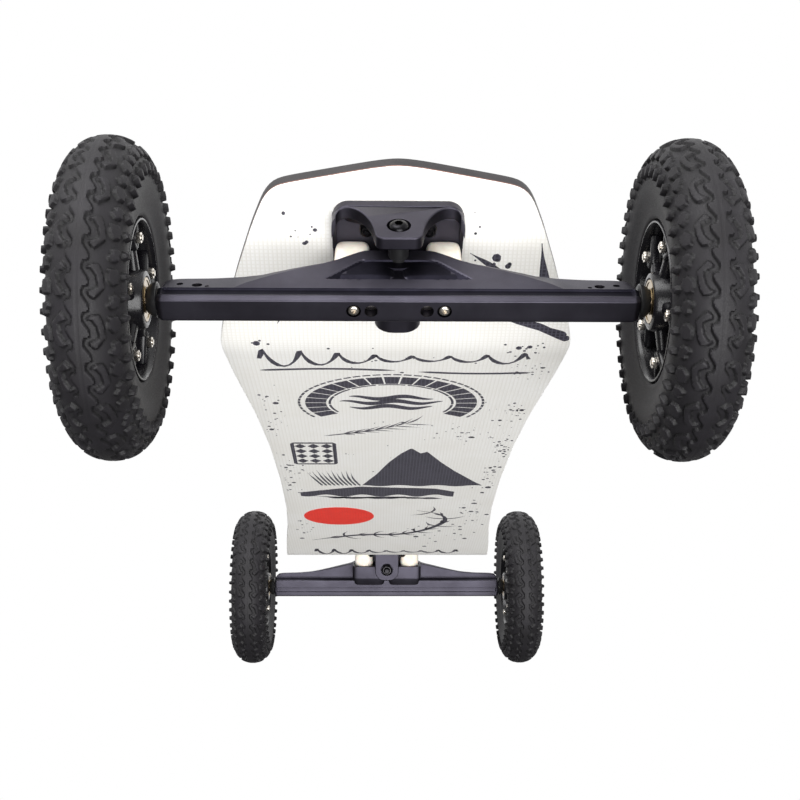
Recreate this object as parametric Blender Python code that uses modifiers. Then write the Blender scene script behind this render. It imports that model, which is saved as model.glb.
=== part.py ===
"""All-terrain board: an upturned deck on two sprung trucks with four pneumatic wheels.

Metres, +Z up, +X towards the nose, origin on the ground under the middle of the board.
Each truck is laid out in its own frame, an empty on the deck's bend line: x across the board,
y along the underside of the tip towards its end, and z square to the tip, so the truck hangs
below z = 0.
"""

import math

import bmesh
import bpy
from mathutils import Matrix, Vector

GAP = 0.0003  # clearance kept between neighbouring pieces
TRIM = 0.0010  # how far a rough shape stands past the cut that trims it

# the whole board
WHEELBASE = 0.930
TIP_ANGLE = math.radians(30.0)

# wheels
TYRE_RADIUS = 0.1015
TYRE_HALF_WIDTH = 0.025
TYRE_SIDES = 28
RIM_SIDES = 20
WHEEL_OFFSET = 0.177  # middle of the board to the middle of a tyre
RIM_BED_RADIUS = 0.0499
RIM_FLANGE_RADIUS = 0.054
RIM_HALF_WIDTH = 0.0178
HUB_HALF_WIDTH = 0.0200
HUB_RADIUS = 0.0185
SPOKE_COUNT = 5
BEARING_RADIUS = 0.0140
BEARING_WIDTH = 0.0080
AXLE_RADIUS = 0.0060
AXLE_END = 0.208
AXLE_NUT_WIDTH = 0.0080
AXLE_NUT_FLATS = 0.019
AXLE_HEIGHT = TYRE_RADIUS * math.cos(math.pi / TYRE_SIDES)  # a flat of the tyre is on the ground

# deck, measured along its underside from the middle
DECK_THICKNESS = 0.0120
TIP_LENGTH = 0.1420
WAIST_HALF_WIDTH = 0.1090
BEND_RADIUS = 0.080
BEND_STEPS = 5
GRIP_THICKNESS = 0.0010
GRIP_INSET = 0.0030

# truck, in its own frame
AXLE_Y = 0.0858
AXLE_Z = -0.0683
KINGPIN_Z = -0.0310
KINGPIN_RADIUS = 0.0040
PLATE_HALF_WIDTH = 0.0435
PLATE_THICKNESS = 0.0070
PLATE_INNER_Y = 0.0380
OUTER_WALL = (0.1085, 0.1175)
INNER_WALL = (0.0430, 0.0540)
KNUCKLE_HALF_WIDTH = 0.0152
KNUCKLE_BOTTOM_Z = -0.0460
ARCH_TOP_X = 0.0357
ARCH_TOP_Z = -0.0090
BOLT_X = 0.02065
BOLT_YS = (0.0461, 0.1000)
BOLT_RADIUS = 0.0025
HANGER_HALF_LENGTH = 0.150
BAR_SIZE = (0.0170, 0.0230)
CUP_X = 0.0300
CUP_Y = 0.0795
CUP_FLOOR_Z = -0.0440
SHOCK_RADIUS = 0.0120
BARREL = (0.0668, 0.0952)
BARREL_RADIUS = 0.0130
LOCK_SCREW_X = 0.0282
SPARE_HOLE_X = 0.0174

BEND_X = WHEELBASE / 2 - AXLE_Y * math.cos(TIP_ANGLE) + AXLE_Z * math.sin(TIP_ANGLE)
DECK_HEIGHT = AXLE_HEIGHT - AXLE_Y * math.sin(TIP_ANGLE) - AXLE_Z * math.cos(TIP_ANGLE)

ALONG = {
    "x": Matrix.Rotation(math.pi / 2, 4, "Y"),
    "y": Matrix.Rotation(-math.pi / 2, 4, "X"),
    "z": Matrix.Identity(4),
}


# ---- scene, collections and materials


def clear_scene():
    for obj in list(bpy.data.objects):
        bpy.data.objects.remove(obj, do_unlink=True)


def new_collection(name):
    collection = bpy.data.collections.new(name)
    bpy.context.scene.collection.children.link(collection)
    return collection


def new_material(name, colour, roughness, metallic=0.0):
    material = bpy.data.materials.new(name)
    material.use_nodes = True
    shader = material.node_tree.nodes["Principled BSDF"]
    shader.inputs["Base Color"].default_value = (*colour, 1.0)
    shader.inputs["Roughness"].default_value = roughness
    shader.inputs["Metallic"].default_value = metallic
    return material


def make_materials():
    return {
        "deck": new_material("white_printed_laminate", (0.80, 0.79, 0.75), 0.35),
        "grip": new_material("black_grip_tape", (0.02, 0.02, 0.02), 0.95),
        "anodised": new_material("black_anodised_aluminium", (0.07, 0.07, 0.08), 0.38, 0.9),
        "steel": new_material("zinc_plated_steel", (0.60, 0.58, 0.54), 0.28, 1.0),
        "black_steel": new_material("black_oxide_steel", (0.03, 0.03, 0.03), 0.35, 1.0),
        "urethane": new_material("ivory_urethane", (0.80, 0.77, 0.68), 0.45),
        "bush": new_material("black_acetal", (0.04, 0.04, 0.04), 0.4),
        "rubber": new_material("black_tyre_rubber", (0.03, 0.03, 0.035), 0.6),
        "nylon": new_material("gloss_black_nylon", (0.01, 0.01, 0.01), 0.15),
        "bearing": new_material("bearing_steel", (0.62, 0.55, 0.42), 0.2, 1.0),
    }


# ---- shape helpers


def shade(mesh, angle=math.radians(35)):
    mesh.shade_smooth()
    mesh.set_sharp_from_angle(angle=angle)


def finish(bm, name, collection):
    """Writes the bmesh to a new object with outward faces and joins nothing else to it."""
    bmesh.ops.recalc_face_normals(bm, faces=bm.faces)
    mesh = bpy.data.meshes.new(name)
    bm.to_mesh(mesh)
    bm.free()
    shade(mesh)
    obj = bpy.data.objects.new(name, mesh)
    collection.objects.link(obj)
    return obj


def box(name, collection, low, high):
    bm = bmesh.new()
    size = Vector(high) - Vector(low)
    middle = (Vector(high) + Vector(low)) / 2
    bmesh.ops.create_cube(bm, size=1.0, matrix=Matrix.Translation(middle) @ Matrix.Diagonal((*size, 1)))
    return finish(bm, name, collection)


def cylinder(name, collection, radius, start, end, axis="y", centre=(0, 0, 0), sides=24, turn=0.0):
    """A cylinder along one axis, from start to end on it; centre gives the other two positions."""
    bm = bmesh.new()
    shift = Vector(centre)
    shift["xyz".index(axis)] = (start + end) / 2
    place = Matrix.Translation(shift) @ ALONG[axis] @ Matrix.Rotation(turn, 4, "Z")
    bmesh.ops.create_cone(
        bm,
        cap_ends=True,
        segments=sides,
        radius1=radius,
        radius2=radius,
        depth=abs(end - start),
        matrix=place,
    )
    return finish(bm, name, collection)


def prism(name, collection, outline, start, end, axis="y"):
    """An outline carried along x, y or z. Its points are (x, z) along y, and (y, z) along x."""
    bm = bmesh.new()
    if axis == "y":
        points = [Vector((a, start, b)) for a, b in outline]
        step = Vector((0, end - start, 0))
    elif axis == "x":
        points = [Vector((start, a, b)) for a, b in outline]
        step = Vector((end - start, 0, 0))
    else:
        points = [Vector((a, b, start)) for a, b in outline]
        step = Vector((0, 0, end - start))
    face = bm.faces.new([bm.verts.new(point) for point in points])
    side = bmesh.ops.extrude_face_region(bm, geom=[face])
    moved = [item for item in side["geom"] if isinstance(item, bmesh.types.BMVert)]
    bmesh.ops.translate(bm, verts=moved, vec=step)
    return finish(bm, name, collection)


def turned(name, collection, profile, steps):
    """A closed (radius, height) profile turned about z with a Screw modifier."""
    mesh = bpy.data.meshes.new(name)
    count = len(profile)
    pairs = [(i, (i + 1) % count) for i in range(count)]
    edges = [(i, j) for i, j in pairs if profile[i][0] > 0 or profile[j][0] > 0]
    mesh.from_pydata([(radius, 0.0, height) for radius, height in profile], edges, [])
    obj = bpy.data.objects.new(name, mesh)
    collection.objects.link(obj)
    screw = obj.modifiers.new("turn", "SCREW")
    screw.steps = steps
    screw.render_steps = steps
    screw.use_merge_vertices = True
    screw.merge_threshold = 0.0001
    screw.use_normal_calculate = True
    return obj


def applied(obj):
    """Bakes the object's modifiers and place into its mesh, with doubles merged."""
    bpy.context.view_layer.update()
    evaluated = obj.evaluated_get(bpy.context.evaluated_depsgraph_get())
    mesh = bpy.data.meshes.new_from_object(evaluated)
    mesh.transform(obj.matrix_world)
    bm = bmesh.new()
    bm.from_mesh(mesh)
    bmesh.ops.remove_doubles(bm, verts=bm.verts, dist=0.000001)
    bmesh.ops.recalc_face_normals(bm, faces=bm.faces)
    bm.to_mesh(mesh)
    bm.free()
    obj.modifiers.clear()
    obj.matrix_world = Matrix.Identity(4)
    obj.data = mesh
    shade(mesh)
    return obj


def boolean(obj, other, operation):
    modifier = obj.modifiers.new(other.name, "BOOLEAN")
    modifier.operation = operation
    modifier.solver = "EXACT"
    modifier.object = other
    other.hide_render = True
    other.display_type = "WIRE"


def joined(obj, others, operation="UNION"):
    for other in others:
        boolean(obj, other, operation)
    applied(obj)
    for other in others:
        bpy.data.objects.remove(other, do_unlink=True)
    return obj


def place(obj, parent, material, location=(0, 0, 0), rotation=(0, 0, 0)):
    obj.parent = parent
    obj.location = location
    obj.rotation_euler = rotation
    obj.data.materials.clear()
    obj.data.materials.append(material)
    return obj


def empty(name, collection, parent=None, location=(0, 0, 0), rotation=(0, 0, 0)):
    obj = bpy.data.objects.new(name, None)
    obj.empty_display_size = 0.03
    obj.location = location
    obj.rotation_euler = rotation
    obj.parent = parent
    collection.objects.link(obj)
    return obj


def ellipse(centre, radii, start, end, steps):
    """Points on an ellipse from one angle to another, in degrees, ends included."""
    angles = [math.radians(start + (end - start) * i / steps) for i in range(steps + 1)]
    return [
        (centre[0] + radii[0] * math.cos(angle), centre[1] + radii[1] * math.sin(angle))
        for angle in angles
    ]


def mirrored(half):
    """Closes a half outline, drawn from its top on the middle line to its bottom, by reflection."""
    return half + [(-x, z) for x, z in reversed(half) if x > 0]


# ---- deck


def tip_outline():
    """Half width against distance along the underside, from the waist to the point of the nose."""
    bend = BEND_X
    sides = [
        (0.0, WAIST_HALF_WIDTH),
        (0.110, 0.1105),
        (0.200, 0.1150),
        (0.290, 0.1225),
        (bend - 0.005, 0.1262),
        (bend + 0.015, 0.1225),
        (bend + 0.060, 0.1095),
        (bend + 0.095, 0.0978),
        (bend + 0.118, 0.0885),
    ]
    corner = [(bend + 0.1265, 0.0815), (bend + 0.1295, 0.0690)]
    nose = [(bend + 0.1375, 0.0290), (bend + 0.1405, 0.0130)]
    return sides + corner + nose + [(bend + TIP_LENGTH, 0.0)]


def bend_station(distance):
    """Place and slope on the underside at a distance along it, for the right-hand half."""
    reach = BEND_RADIUS * math.tan(TIP_ANGLE / 2)
    start = BEND_X - reach
    if distance <= start:
        return distance, DECK_HEIGHT, 0.0
    turn = (distance - start) / BEND_RADIUS
    if turn <= TIP_ANGLE:
        across = start + BEND_RADIUS * math.sin(turn)
        return across, DECK_HEIGHT + BEND_RADIUS * (1 - math.cos(turn)), turn
    rest = distance - BEND_X
    return (
        BEND_X + rest * math.cos(TIP_ANGLE),
        DECK_HEIGHT + rest * math.sin(TIP_ANGLE),
        TIP_ANGLE,
    )


def bent_sheet(name, collection, inset, low, high):
    """The deck's outline, low to high above its underside, folded up at both bends."""
    quarter = tip_outline()
    scale = 1 - inset / WAIST_HALF_WIDTH
    half = [(s - inset * s / quarter[-1][0], w * scale) for s, w in quarter]
    right = half + [(s, -w) for s, w in reversed(half[1:-1])]
    left = [(-s, -w) for s, w in half] + [(-s, w) for s, w in reversed(half[1:-1])]
    outline = right + left
    sheet = prism(name, collection, outline, low, high, axis="z")
    bm = bmesh.new()
    bm.from_mesh(sheet.data)
    reach = BEND_RADIUS * math.tan(TIP_ANGLE / 2)
    arc = BEND_RADIUS * TIP_ANGLE
    for side in (-1, 1):
        for step in range(BEND_STEPS + 1):
            cut = side * (BEND_X - reach + arc * step / BEND_STEPS)
            geometry = bm.verts[:] + bm.edges[:] + bm.faces[:]
            bmesh.ops.bisect_plane(bm, geom=geometry, plane_co=(cut, 0, 0), plane_no=(1, 0, 0), dist=1e-6)
    for vert in bm.verts:
        side = math.copysign(1, vert.co.x)
        along, height, slope = bend_station(abs(vert.co.x))
        vert.co = (
            side * (along - vert.co.z * math.sin(slope)),
            vert.co.y,
            height + vert.co.z * math.cos(slope),
        )
    bmesh.ops.triangulate(bm, faces=bm.faces)
    bm.to_mesh(sheet.data)
    bm.free()
    shade(sheet.data)
    return sheet


def bolt_cutters(collection, frames, profile):
    """A cutter turned from a (radius, height) profile at every truck bolt, in world space."""
    cutters = []
    for frame in frames:
        for x in (-BOLT_X, BOLT_X):
            for y in BOLT_YS:
                cutter = applied(turned("bolt_cutter", collection, profile, 10))
                cutter.data.transform(frame.matrix_world @ Matrix.Translation((x, y, 0)))
                cutters.append(cutter)
    return cutters


def make_deck(parts, cutters, frames, materials):
    hole = BOLT_RADIUS + GAP
    sink_depth = 0.0034
    sink_top = DECK_THICKNESS + 0.0004
    countersunk = [
        (0.0, sink_top),
        (hole + sink_depth, sink_top),
        (hole, sink_top - sink_depth),
        (hole, -0.02),
        (0.0, -0.02),
    ]
    deck = bent_sheet("deck", parts, 0.0, 0.0, DECK_THICKNESS)
    joined(deck, bolt_cutters(cutters, frames, countersunk), "DIFFERENCE")
    place(deck, None, materials["deck"])
    low = DECK_THICKNESS + GAP
    grip = bent_sheet("grip_tape", parts, GRIP_INSET, low, low + GRIP_THICKNESS)
    plain = [(0.0, 0.04), (0.0065, 0.04), (0.0065, -0.02), (0.0, -0.02)]
    joined(grip, bolt_cutters(cutters, frames, plain), "DIFFERENCE")
    place(grip, None, materials["grip"])


# ---- truck: base plate and kingpin


def wall_outline(leg, corner):
    """Outline of a kingpin wall, over-wide and over-tall: arched openings, a central knuckle."""
    wide = PLATE_HALF_WIDTH + TRIM
    small = PLATE_HALF_WIDTH - 0.0025 - ARCH_TOP_X
    leg_inner = ARCH_TOP_X + small
    outline = [(0.0, TRIM), (wide, TRIM), (wide, -leg)]
    if leg > -ARCH_TOP_Z + small:
        outline.append((leg_inner, -leg))
        outline += ellipse((ARCH_TOP_X, ARCH_TOP_Z - small), (small, small), 0, 90, 3)
    else:
        outline.append((ARCH_TOP_X, ARCH_TOP_Z))
    reach = ARCH_TOP_X - KNUCKLE_HALF_WIDTH
    drop = ARCH_TOP_Z - KNUCKLE_BOTTOM_Z
    outline += ellipse((ARCH_TOP_X, KNUCKLE_BOTTOM_Z), (reach, drop), 90, 172, 5)[1:]
    centre = (KNUCKLE_HALF_WIDTH - corner, KNUCKLE_BOTTOM_Z + corner)
    arc = ellipse(centre, (corner, corner), 0, -90, 4)
    return mirrored(outline + [point for point in arc if point[1] < outline[-1][1]] + [(0.0, KNUCKLE_BOTTOM_Z)])


def make_base_plate(name, parts, cutters, parent, material):
    outer_end = OUTER_WALL[1]
    round_corner = 0.011
    half = PLATE_HALF_WIDTH
    corner = ellipse((half - round_corner, outer_end - round_corner), (round_corner, round_corner), 0, 90, 4)
    plan = [(-half, PLATE_INNER_Y), (half, PLATE_INNER_Y)] + corner
    plan += [(-x, y) for x, y in reversed(corner)]
    wide = half + TRIM
    slab = box(name, parts, (-wide, PLATE_INNER_Y - TRIM, -PLATE_THICKNESS), (wide, outer_end + TRIM, TRIM))
    outer = prism("outer_wall", cutters, wall_outline(0.0170, 0.005), OUTER_WALL[0], outer_end + 2 * TRIM)
    # the inner wall is only as wide as its knuckle, between the two inner bolts
    reach, low, round_edge = KNUCKLE_HALF_WIDTH, KNUCKLE_BOTTOM_Z, 0.0120
    arc = ellipse((reach - round_edge, low + round_edge), (round_edge, round_edge), 0, -90, 4)
    inner = prism("inner_wall", cutters, mirrored([(0.0, -0.0030), (reach, -0.0030)] + arc + [(0.0, low)]), *INNER_WALL)
    legs = []
    for side in (-1, 1):
        edge = [(0.088, -0.005), (0.088, -0.0072), (0.1090, -0.0168), (0.1090, -0.005)]
        ends = sorted((side * (half - 0.0030), side * (wide + TRIM)))
        legs.append(prism("side_leg", cutters, edge, ends[0], ends[1], axis="x"))
    plate = joined(slab, [outer, inner] + legs)
    joined(plate, [prism("plan_trim", cutters, plan, -0.06, -GAP, axis="z")], "INTERSECT")
    centre = (0, 0, KINGPIN_Z)
    holes = [
        cylinder("kingpin_hole", cutters, KINGPIN_RADIUS + GAP, 0.03, 0.13, "y", centre, 12),
        cylinder("head_seat", cutters, 0.0076, 0.1128, 0.13, "y", centre, 16),
        cylinder("nut_seat", cutters, 0.0083, 0.03, 0.0467, "y", centre, 16),
    ]
    for x in (-BOLT_X, BOLT_X):
        for y in BOLT_YS:
            centre = (x, y, 0)
            holes.append(cylinder("bolt_hole", cutters, BOLT_RADIUS + GAP, -0.02, 0.01, "z", centre, 10))
    joined(plate, holes, "DIFFERENCE")
    return place(plate, parent, material)


def make_kingpin(prefix, parts, cutters, parent, materials):
    centre = (0, 0, KINGPIN_Z)
    bolt = cylinder(prefix + "_kingpin_bolt", parts, KINGPIN_RADIUS, 0.0370, 0.1145, "y", centre, 12)
    head = cylinder("kingpin_head", cutters, 0.0070, 0.1132, 0.1172, "y", centre, 16)
    joined(bolt, [head])
    socket = cylinder("socket", cutters, 0.0025, 0.1150, 0.12, "y", centre, 6)
    joined(bolt, [socket], "DIFFERENCE")
    place(bolt, parent, materials["black_steel"])
    hexagon = 0.013 / math.sqrt(3)
    nut = cylinder(prefix + "_kingpin_nut", parts, hexagon, 0.0400, 0.0464, "y", centre, 6)
    bore = cylinder("nut_bore", cutters, KINGPIN_RADIUS + GAP, 0.03, 0.07, "y", centre, 12)
    joined(nut, [bore], "DIFFERENCE")
    place(nut, parent, materials["steel"])


def make_bush(name, parts, parent, material, flange, sleeve_end, radius=0.0100):
    """A flanged bush between a wall and the hanger's barrel, its sleeve inside the barrel."""
    bore = KINGPIN_RADIUS + GAP
    outer = 0.0062
    toward = math.copysign(1, sleeve_end - flange[0])
    near, far = (flange[1], flange[0]) if toward < 0 else (flange[0], flange[1])
    profile = [(bore, near), (radius, near), (radius, far), (outer, far), (outer, sleeve_end), (bore, sleeve_end)]
    bush = turned(name, parts, profile, 12)
    applied(bush)
    return place(bush, parent, material, (0, 0, KINGPIN_Z), (-math.pi / 2, 0, 0))


def make_truck_bolt(name, parts, cutters, parent, material, x, y):
    """A countersunk bolt through deck and plate, head down in the deck's top face."""
    depth = 0.0028
    top = DECK_THICKNESS - 0.0002
    bolt = cylinder(name, parts, BOLT_RADIUS, -0.0140, top - depth / 2, "z", (x, y, 0), 10)
    bm = bmesh.new()
    bmesh.ops.create_cone(
        bm,
        cap_ends=True,
        segments=12,
        radius1=BOLT_RADIUS - 0.0003,
        radius2=BOLT_RADIUS + depth - 0.0002,
        depth=depth,
        matrix=Matrix.Translation((x, y, top - depth / 2)),
    )
    head = finish(bm, "bolt_head", cutters)
    joined(bolt, [head])
    return place(bolt, parent, material)


def make_shock_block(name, parts, parent, material, x):
    """A urethane block, slightly waisted, standing between the base plate and its cup."""
    low = CUP_FLOOR_Z + GAP
    high = -PLATE_THICKNESS - GAP
    waist = SHOCK_RADIUS - 0.0012
    middle = (low + high) / 2
    profile = [
        (0.0, high),
        (SHOCK_RADIUS, high),
        (waist, middle),
        (SHOCK_RADIUS, low + 0.0100),
        (SHOCK_RADIUS, low),
        (0.0, low),
    ]
    block = turned(name, parts, profile, 16)
    applied(block)
    return place(block, parent, material, (x, CUP_Y, 0))


# ---- truck: hanger and axle


def make_hanger(name, parts, cutters, parent, material):
    """The tilting arm: axle bar, rising front plate, two shock cups and the kingpin barrel."""
    half_y, half_z = BAR_SIZE[0] / 2, BAR_SIZE[1] / 2
    front, back = AXLE_Y + half_y, AXLE_Y - half_y
    top, bottom = AXLE_Z + half_z, AXLE_Z - half_z
    end = HANGER_HALF_LENGTH
    edge = 0.0020
    section = [
        (back + edge, bottom),
        (front - edge, bottom),
        (front, bottom + edge),
        (front, top - edge),
        (front - edge, top),
        (back + edge, top),
        (back, top - edge),
        (back, bottom + edge),
    ]
    bar = prism(name, parts, section, -end, end, axis="x")
    rise = [(0.0, -0.0235), (0.0220, -0.0235), (0.0440, -0.0365), (0.1000, -0.0485), (0.1320, -0.0504)]
    rise += [(0.1410, -0.0535), (0.1460, top - 0.0005)]
    sheet = prism("front_plate", cutters, mirrored(rise + [(0.1460, AXLE_Z), (0.0, AXLE_Z)]), front - 0.008, front)
    cup_edge = CUP_X + SHOCK_RADIUS + 0.0028
    body = [
        (CUP_Y - 0.0152, -0.0340),
        (front, -0.0340),
        (front, AXLE_Z),
        (back, AXLE_Z),
        (back - 0.002, -0.0600),
        (CUP_Y - 0.0152, -0.0490),
    ]
    cups = prism("cup_body", cutters, body, -cup_edge, cup_edge, axis="x")
    around = BARREL_RADIUS - 0.0005
    bush_room = cylinder("bush_room", cutters, around, 0.05, BARREL[0] + 0.002, "y", (0, 0, KINGPIN_Z), 16)
    joined(cups, [bush_room], "DIFFERENCE")
    barrel = cylinder("barrel", cutters, BARREL_RADIUS, *BARREL, "y", (0, 0, KINGPIN_Z), 16)
    web = box("web", cutters, (-0.0090, BARREL[0] + 0.001, -0.0420), (0.0090, front - 0.001, KINGPIN_Z))
    joined(bar, [sheet, cups, barrel, web])
    pocket = mirrored([(0.0, -0.0357), (0.0250, -0.0357), (0.0475, -0.0570), (0.0, -0.0570)])
    cuts = [
        prism("pocket", cutters, pocket, front - 0.0020, front + 0.01),
        cylinder("axle_bore", cutters, AXLE_RADIUS + GAP, -0.16, 0.16, "x", (0, AXLE_Y, AXLE_Z), 12),
        cylinder("kingpin_bore", cutters, 0.0066, 0.05, 0.12, "y", (0, 0, KINGPIN_Z), 12),
    ]
    for side in (-1, 1):
        cup = (side * CUP_X, CUP_Y, 0)
        cuts.append(cylinder("cup_bore", cutters, SHOCK_RADIUS + 0.0006, CUP_FLOOR_Z, 0.0, "z", cup, 16))
        lock = (side * LOCK_SCREW_X, AXLE_Y, 0)
        cuts.append(cylinder("lock_seat", cutters, 0.0040, -0.09, bottom + 0.0026, "z", lock, 10))
        cuts.append(cylinder("lock_hole", cutters, 0.0024, -0.09, AXLE_Z, "z", lock, 10))
        spare = (side * SPARE_HOLE_X, AXLE_Y, 0)
        cuts.append(cylinder("spare_hole", cutters, 0.0032, -0.09, AXLE_Z, "z", spare, 10))
    joined(bar, cuts, "DIFFERENCE")
    shift = Matrix.Translation((0, 0, -KINGPIN_Z))
    bar.data.transform(shift)
    return place(bar, parent, material)


def make_axle(name, parts, parent, material):
    axle = cylinder(name, parts, AXLE_RADIUS, -AXLE_END, AXLE_END, "x", (0, 0, 0), 12)
    return place(axle, parent, material, (0, AXLE_Y, AXLE_Z - KINGPIN_Z))


def make_lock_screw(name, parts, cutters, parent, material, x):
    """A socket screw in the hanger's underside that bears on the axle."""
    bottom = AXLE_Z - BAR_SIZE[1] / 2
    centre = (x, AXLE_Y, 0)
    screw = cylinder(name, parts, 0.0020, bottom + 0.001, AXLE_Z - AXLE_RADIUS - GAP, "z", centre, 8)
    head = cylinder("lock_head", cutters, 0.0036, bottom + 0.0001, bottom + 0.0023, "z", centre, 12)
    joined(screw, [head])
    socket = cylinder("socket", cutters, 0.0016, bottom - 0.001, bottom + 0.0015, "z", centre, 6)
    joined(screw, [socket], "DIFFERENCE")
    screw.data.transform(Matrix.Translation((0, 0, -KINGPIN_Z)))
    return place(screw, parent, material)


# ---- wheel, turned about its own z, which points outwards from the board


def make_tyre(name, parts, parent, material):
    half = [
        (0.0505, 0.0095),
        (0.0505, 0.0155),
        (0.0545, 0.0155),
        (0.0600, 0.0218),
        (0.0770, TYRE_HALF_WIDTH),
        (0.0920, 0.0220),
        (0.0995, 0.0125),
        (TYRE_RADIUS, 0.0),
    ]
    inside = [(0.0620, 0.0155), (0.0770, 0.0198), (0.0925, 0.0110)]
    outer = half + [(r, -z) for r, z in reversed(half[:-1])]
    profile = outer + [(r, -z) for r, z in inside] + inside[::-1]
    tyre = turned(name, parts, profile, TYRE_SIDES)
    applied(tyre)
    return place(tyre, parent, material, (0, 0, 0), (0, 0, math.pi / TYRE_SIDES))


def make_rim_half(name, parts, cutters, parent, material, side):
    """One half of the two-piece wheel: flange and bed, a thin web with windows, a bearing boss."""
    web = 0.0055
    bore = BEARING_RADIUS + GAP
    seat = HUB_HALF_WIDTH - BEARING_WIDTH - GAP
    near = GAP / 2
    profile = [
        (0.0105, near),
        (RIM_BED_RADIUS, near),
        (RIM_BED_RADIUS, 0.0158),
        (RIM_FLANGE_RADIUS, 0.0158),
        (RIM_FLANGE_RADIUS, RIM_HALF_WIDTH),
        (0.0470, RIM_HALF_WIDTH),
        (0.0455, web),
        (HUB_RADIUS, web),
        (HUB_RADIUS, HUB_HALF_WIDTH),
        (bore, HUB_HALF_WIDTH),
        (bore, seat),
        (0.0105, seat),
    ]
    rim = turned(name, parts, [(r, side * z) for r, z in profile], RIM_SIDES)
    applied(rim)
    windows = []
    step = 2 * math.pi / SPOKE_COUNT
    for index in range(SPOKE_COUNT):
        turn = index * step
        wide = [(0.0225, 0.25), (0.0225, -0.25), (0.0440, -0.40), (0.0440, 0.40)]
        outline = [(r * math.cos(a + turn), r * math.sin(a + turn)) for r, a in wide]
        windows.append(prism("window", cutters, outline, -0.01, 0.01, axis="z"))
    joined(rim, windows, "DIFFERENCE")
    return place(rim, parent, material)


def make_ring(name, parts, parent, material, radii, start, end, sides):
    profile = [(radii[0], end), (radii[1], end), (radii[1], start), (radii[0], start)]
    ring = turned(name, parts, profile, sides)
    applied(ring)
    return place(ring, parent, material)


def make_axle_nut(name, parts, cutters, parent, material):
    near = HUB_HALF_WIDTH - GAP / 2 + GAP
    nut = cylinder(
        name, parts, AXLE_NUT_FLATS / math.sqrt(3), near, near + AXLE_NUT_WIDTH, "z", (0, 0, 0), 6
    )
    bore = cylinder("axle_nut_bore", cutters, AXLE_RADIUS + GAP, 0.0, 0.04, "z", (0, 0, 0), 12)
    joined(nut, [bore], "DIFFERENCE")
    return place(nut, parent, material)


def make_wheel(prefix, parts, cutters, parent, side, materials):
    """A wheel and the spacer and nut that hold it; parent is the hanger's empty."""
    middle = (side * WHEEL_OFFSET, AXLE_Y, AXLE_Z - KINGPIN_Z)
    hub = empty(prefix + "_wheel_axis", parts, parent, middle, (0, side * math.pi / 2, 0))
    make_tyre(prefix + "_tyre", parts, hub, materials["rubber"])
    make_rim_half(prefix + "_rim_outer", parts, cutters, hub, materials["nylon"], 1)
    make_rim_half(prefix + "_rim_inner", parts, cutters, hub, materials["nylon"], -1)
    bearing = (AXLE_RADIUS + GAP, BEARING_RADIUS)
    far = HUB_HALF_WIDTH - 0.0002
    near = far - BEARING_WIDTH + GAP
    make_ring(prefix + "_bearing_outer", parts, hub, materials["bearing"], bearing, near, far, 16)
    make_ring(prefix + "_bearing_inner", parts, hub, materials["bearing"], bearing, -far, -near, 16)
    fixed = empty(prefix + "_axle_end", parts, parent, middle, (0, side * math.pi / 2, 0))
    spacer = (AXLE_RADIUS + GAP, 0.0095)
    start = HANGER_HALF_LENGTH - WHEEL_OFFSET + GAP
    make_ring(
        prefix + "_axle_spacer", parts, fixed, materials["bush"], spacer, start, -far - GAP, 12
    )
    make_axle_nut(prefix + "_axle_nut", parts, cutters, fixed, materials["steel"])


# ---- assembly


def make_truck(end, parts, cutters, frame, materials):
    make_base_plate(end + "_base_plate", parts, cutters, frame, materials["anodised"])
    make_kingpin(end, parts, cutters, frame, materials)
    outer = (BARREL[1] + GAP, OUTER_WALL[0] - GAP)
    inner = (INNER_WALL[1] + GAP, BARREL[0] - GAP)
    make_bush(end + "_pivot_bush_outer", parts, frame, materials["bush"], outer, BARREL[1] - 0.010, 0.0078)
    make_bush(end + "_pivot_bush_inner", parts, frame, materials["bush"], inner, BARREL[0] + 0.010)
    # seen from the rider, left is +Y of the board
    left = -1 if end == "front" else 1
    for side, name in ((left, "left"), (-left, "right")):
        for y, row in zip(BOLT_YS, ("inner", "outer")):
            title = "_".join((end, "truck_bolt", row, name))
            make_truck_bolt(title, parts, cutters, frame, materials["black_steel"], side * BOLT_X, y)
        make_shock_block(
            f"{end}_shock_block_{name}", parts, frame, materials["urethane"], side * CUP_X
        )
    steer = empty(end + "_steer_axis", parts, frame, (0, 0, KINGPIN_Z))
    make_hanger(end + "_hanger", parts, cutters, steer, materials["anodised"])
    make_axle(end + "_axle", parts, steer, materials["steel"])
    for side, name in ((left, "left"), (-left, "right")):
        title = f"{end}_axle_screw_{name}"
        make_lock_screw(title, parts, cutters, steer, materials["steel"], side * LOCK_SCREW_X)
        make_wheel(f"{end}_{name}", parts, cutters, steer, side, materials)


def main():
    clear_scene()
    parts = new_collection("all_terrain_board")
    cutters = new_collection("cutters")
    materials = make_materials()
    frames = []
    for end, side in (("front", 1), ("rear", -1)):
        place_at = (side * BEND_X, 0, DECK_HEIGHT)
        frames.append(empty(end + "_truck_frame", parts, None, place_at, (TIP_ANGLE, 0, -side * math.pi / 2)))
    bpy.context.view_layer.update()
    make_deck(parts, cutters, frames, materials)
    for end, frame in zip(("front", "rear"), frames):
        make_truck(end, parts, cutters, frame, materials)


main()
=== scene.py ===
import math
from functools import partial

import bmesh
import bpy
import numpy as np
from mathutils import Matrix, Vector


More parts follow.
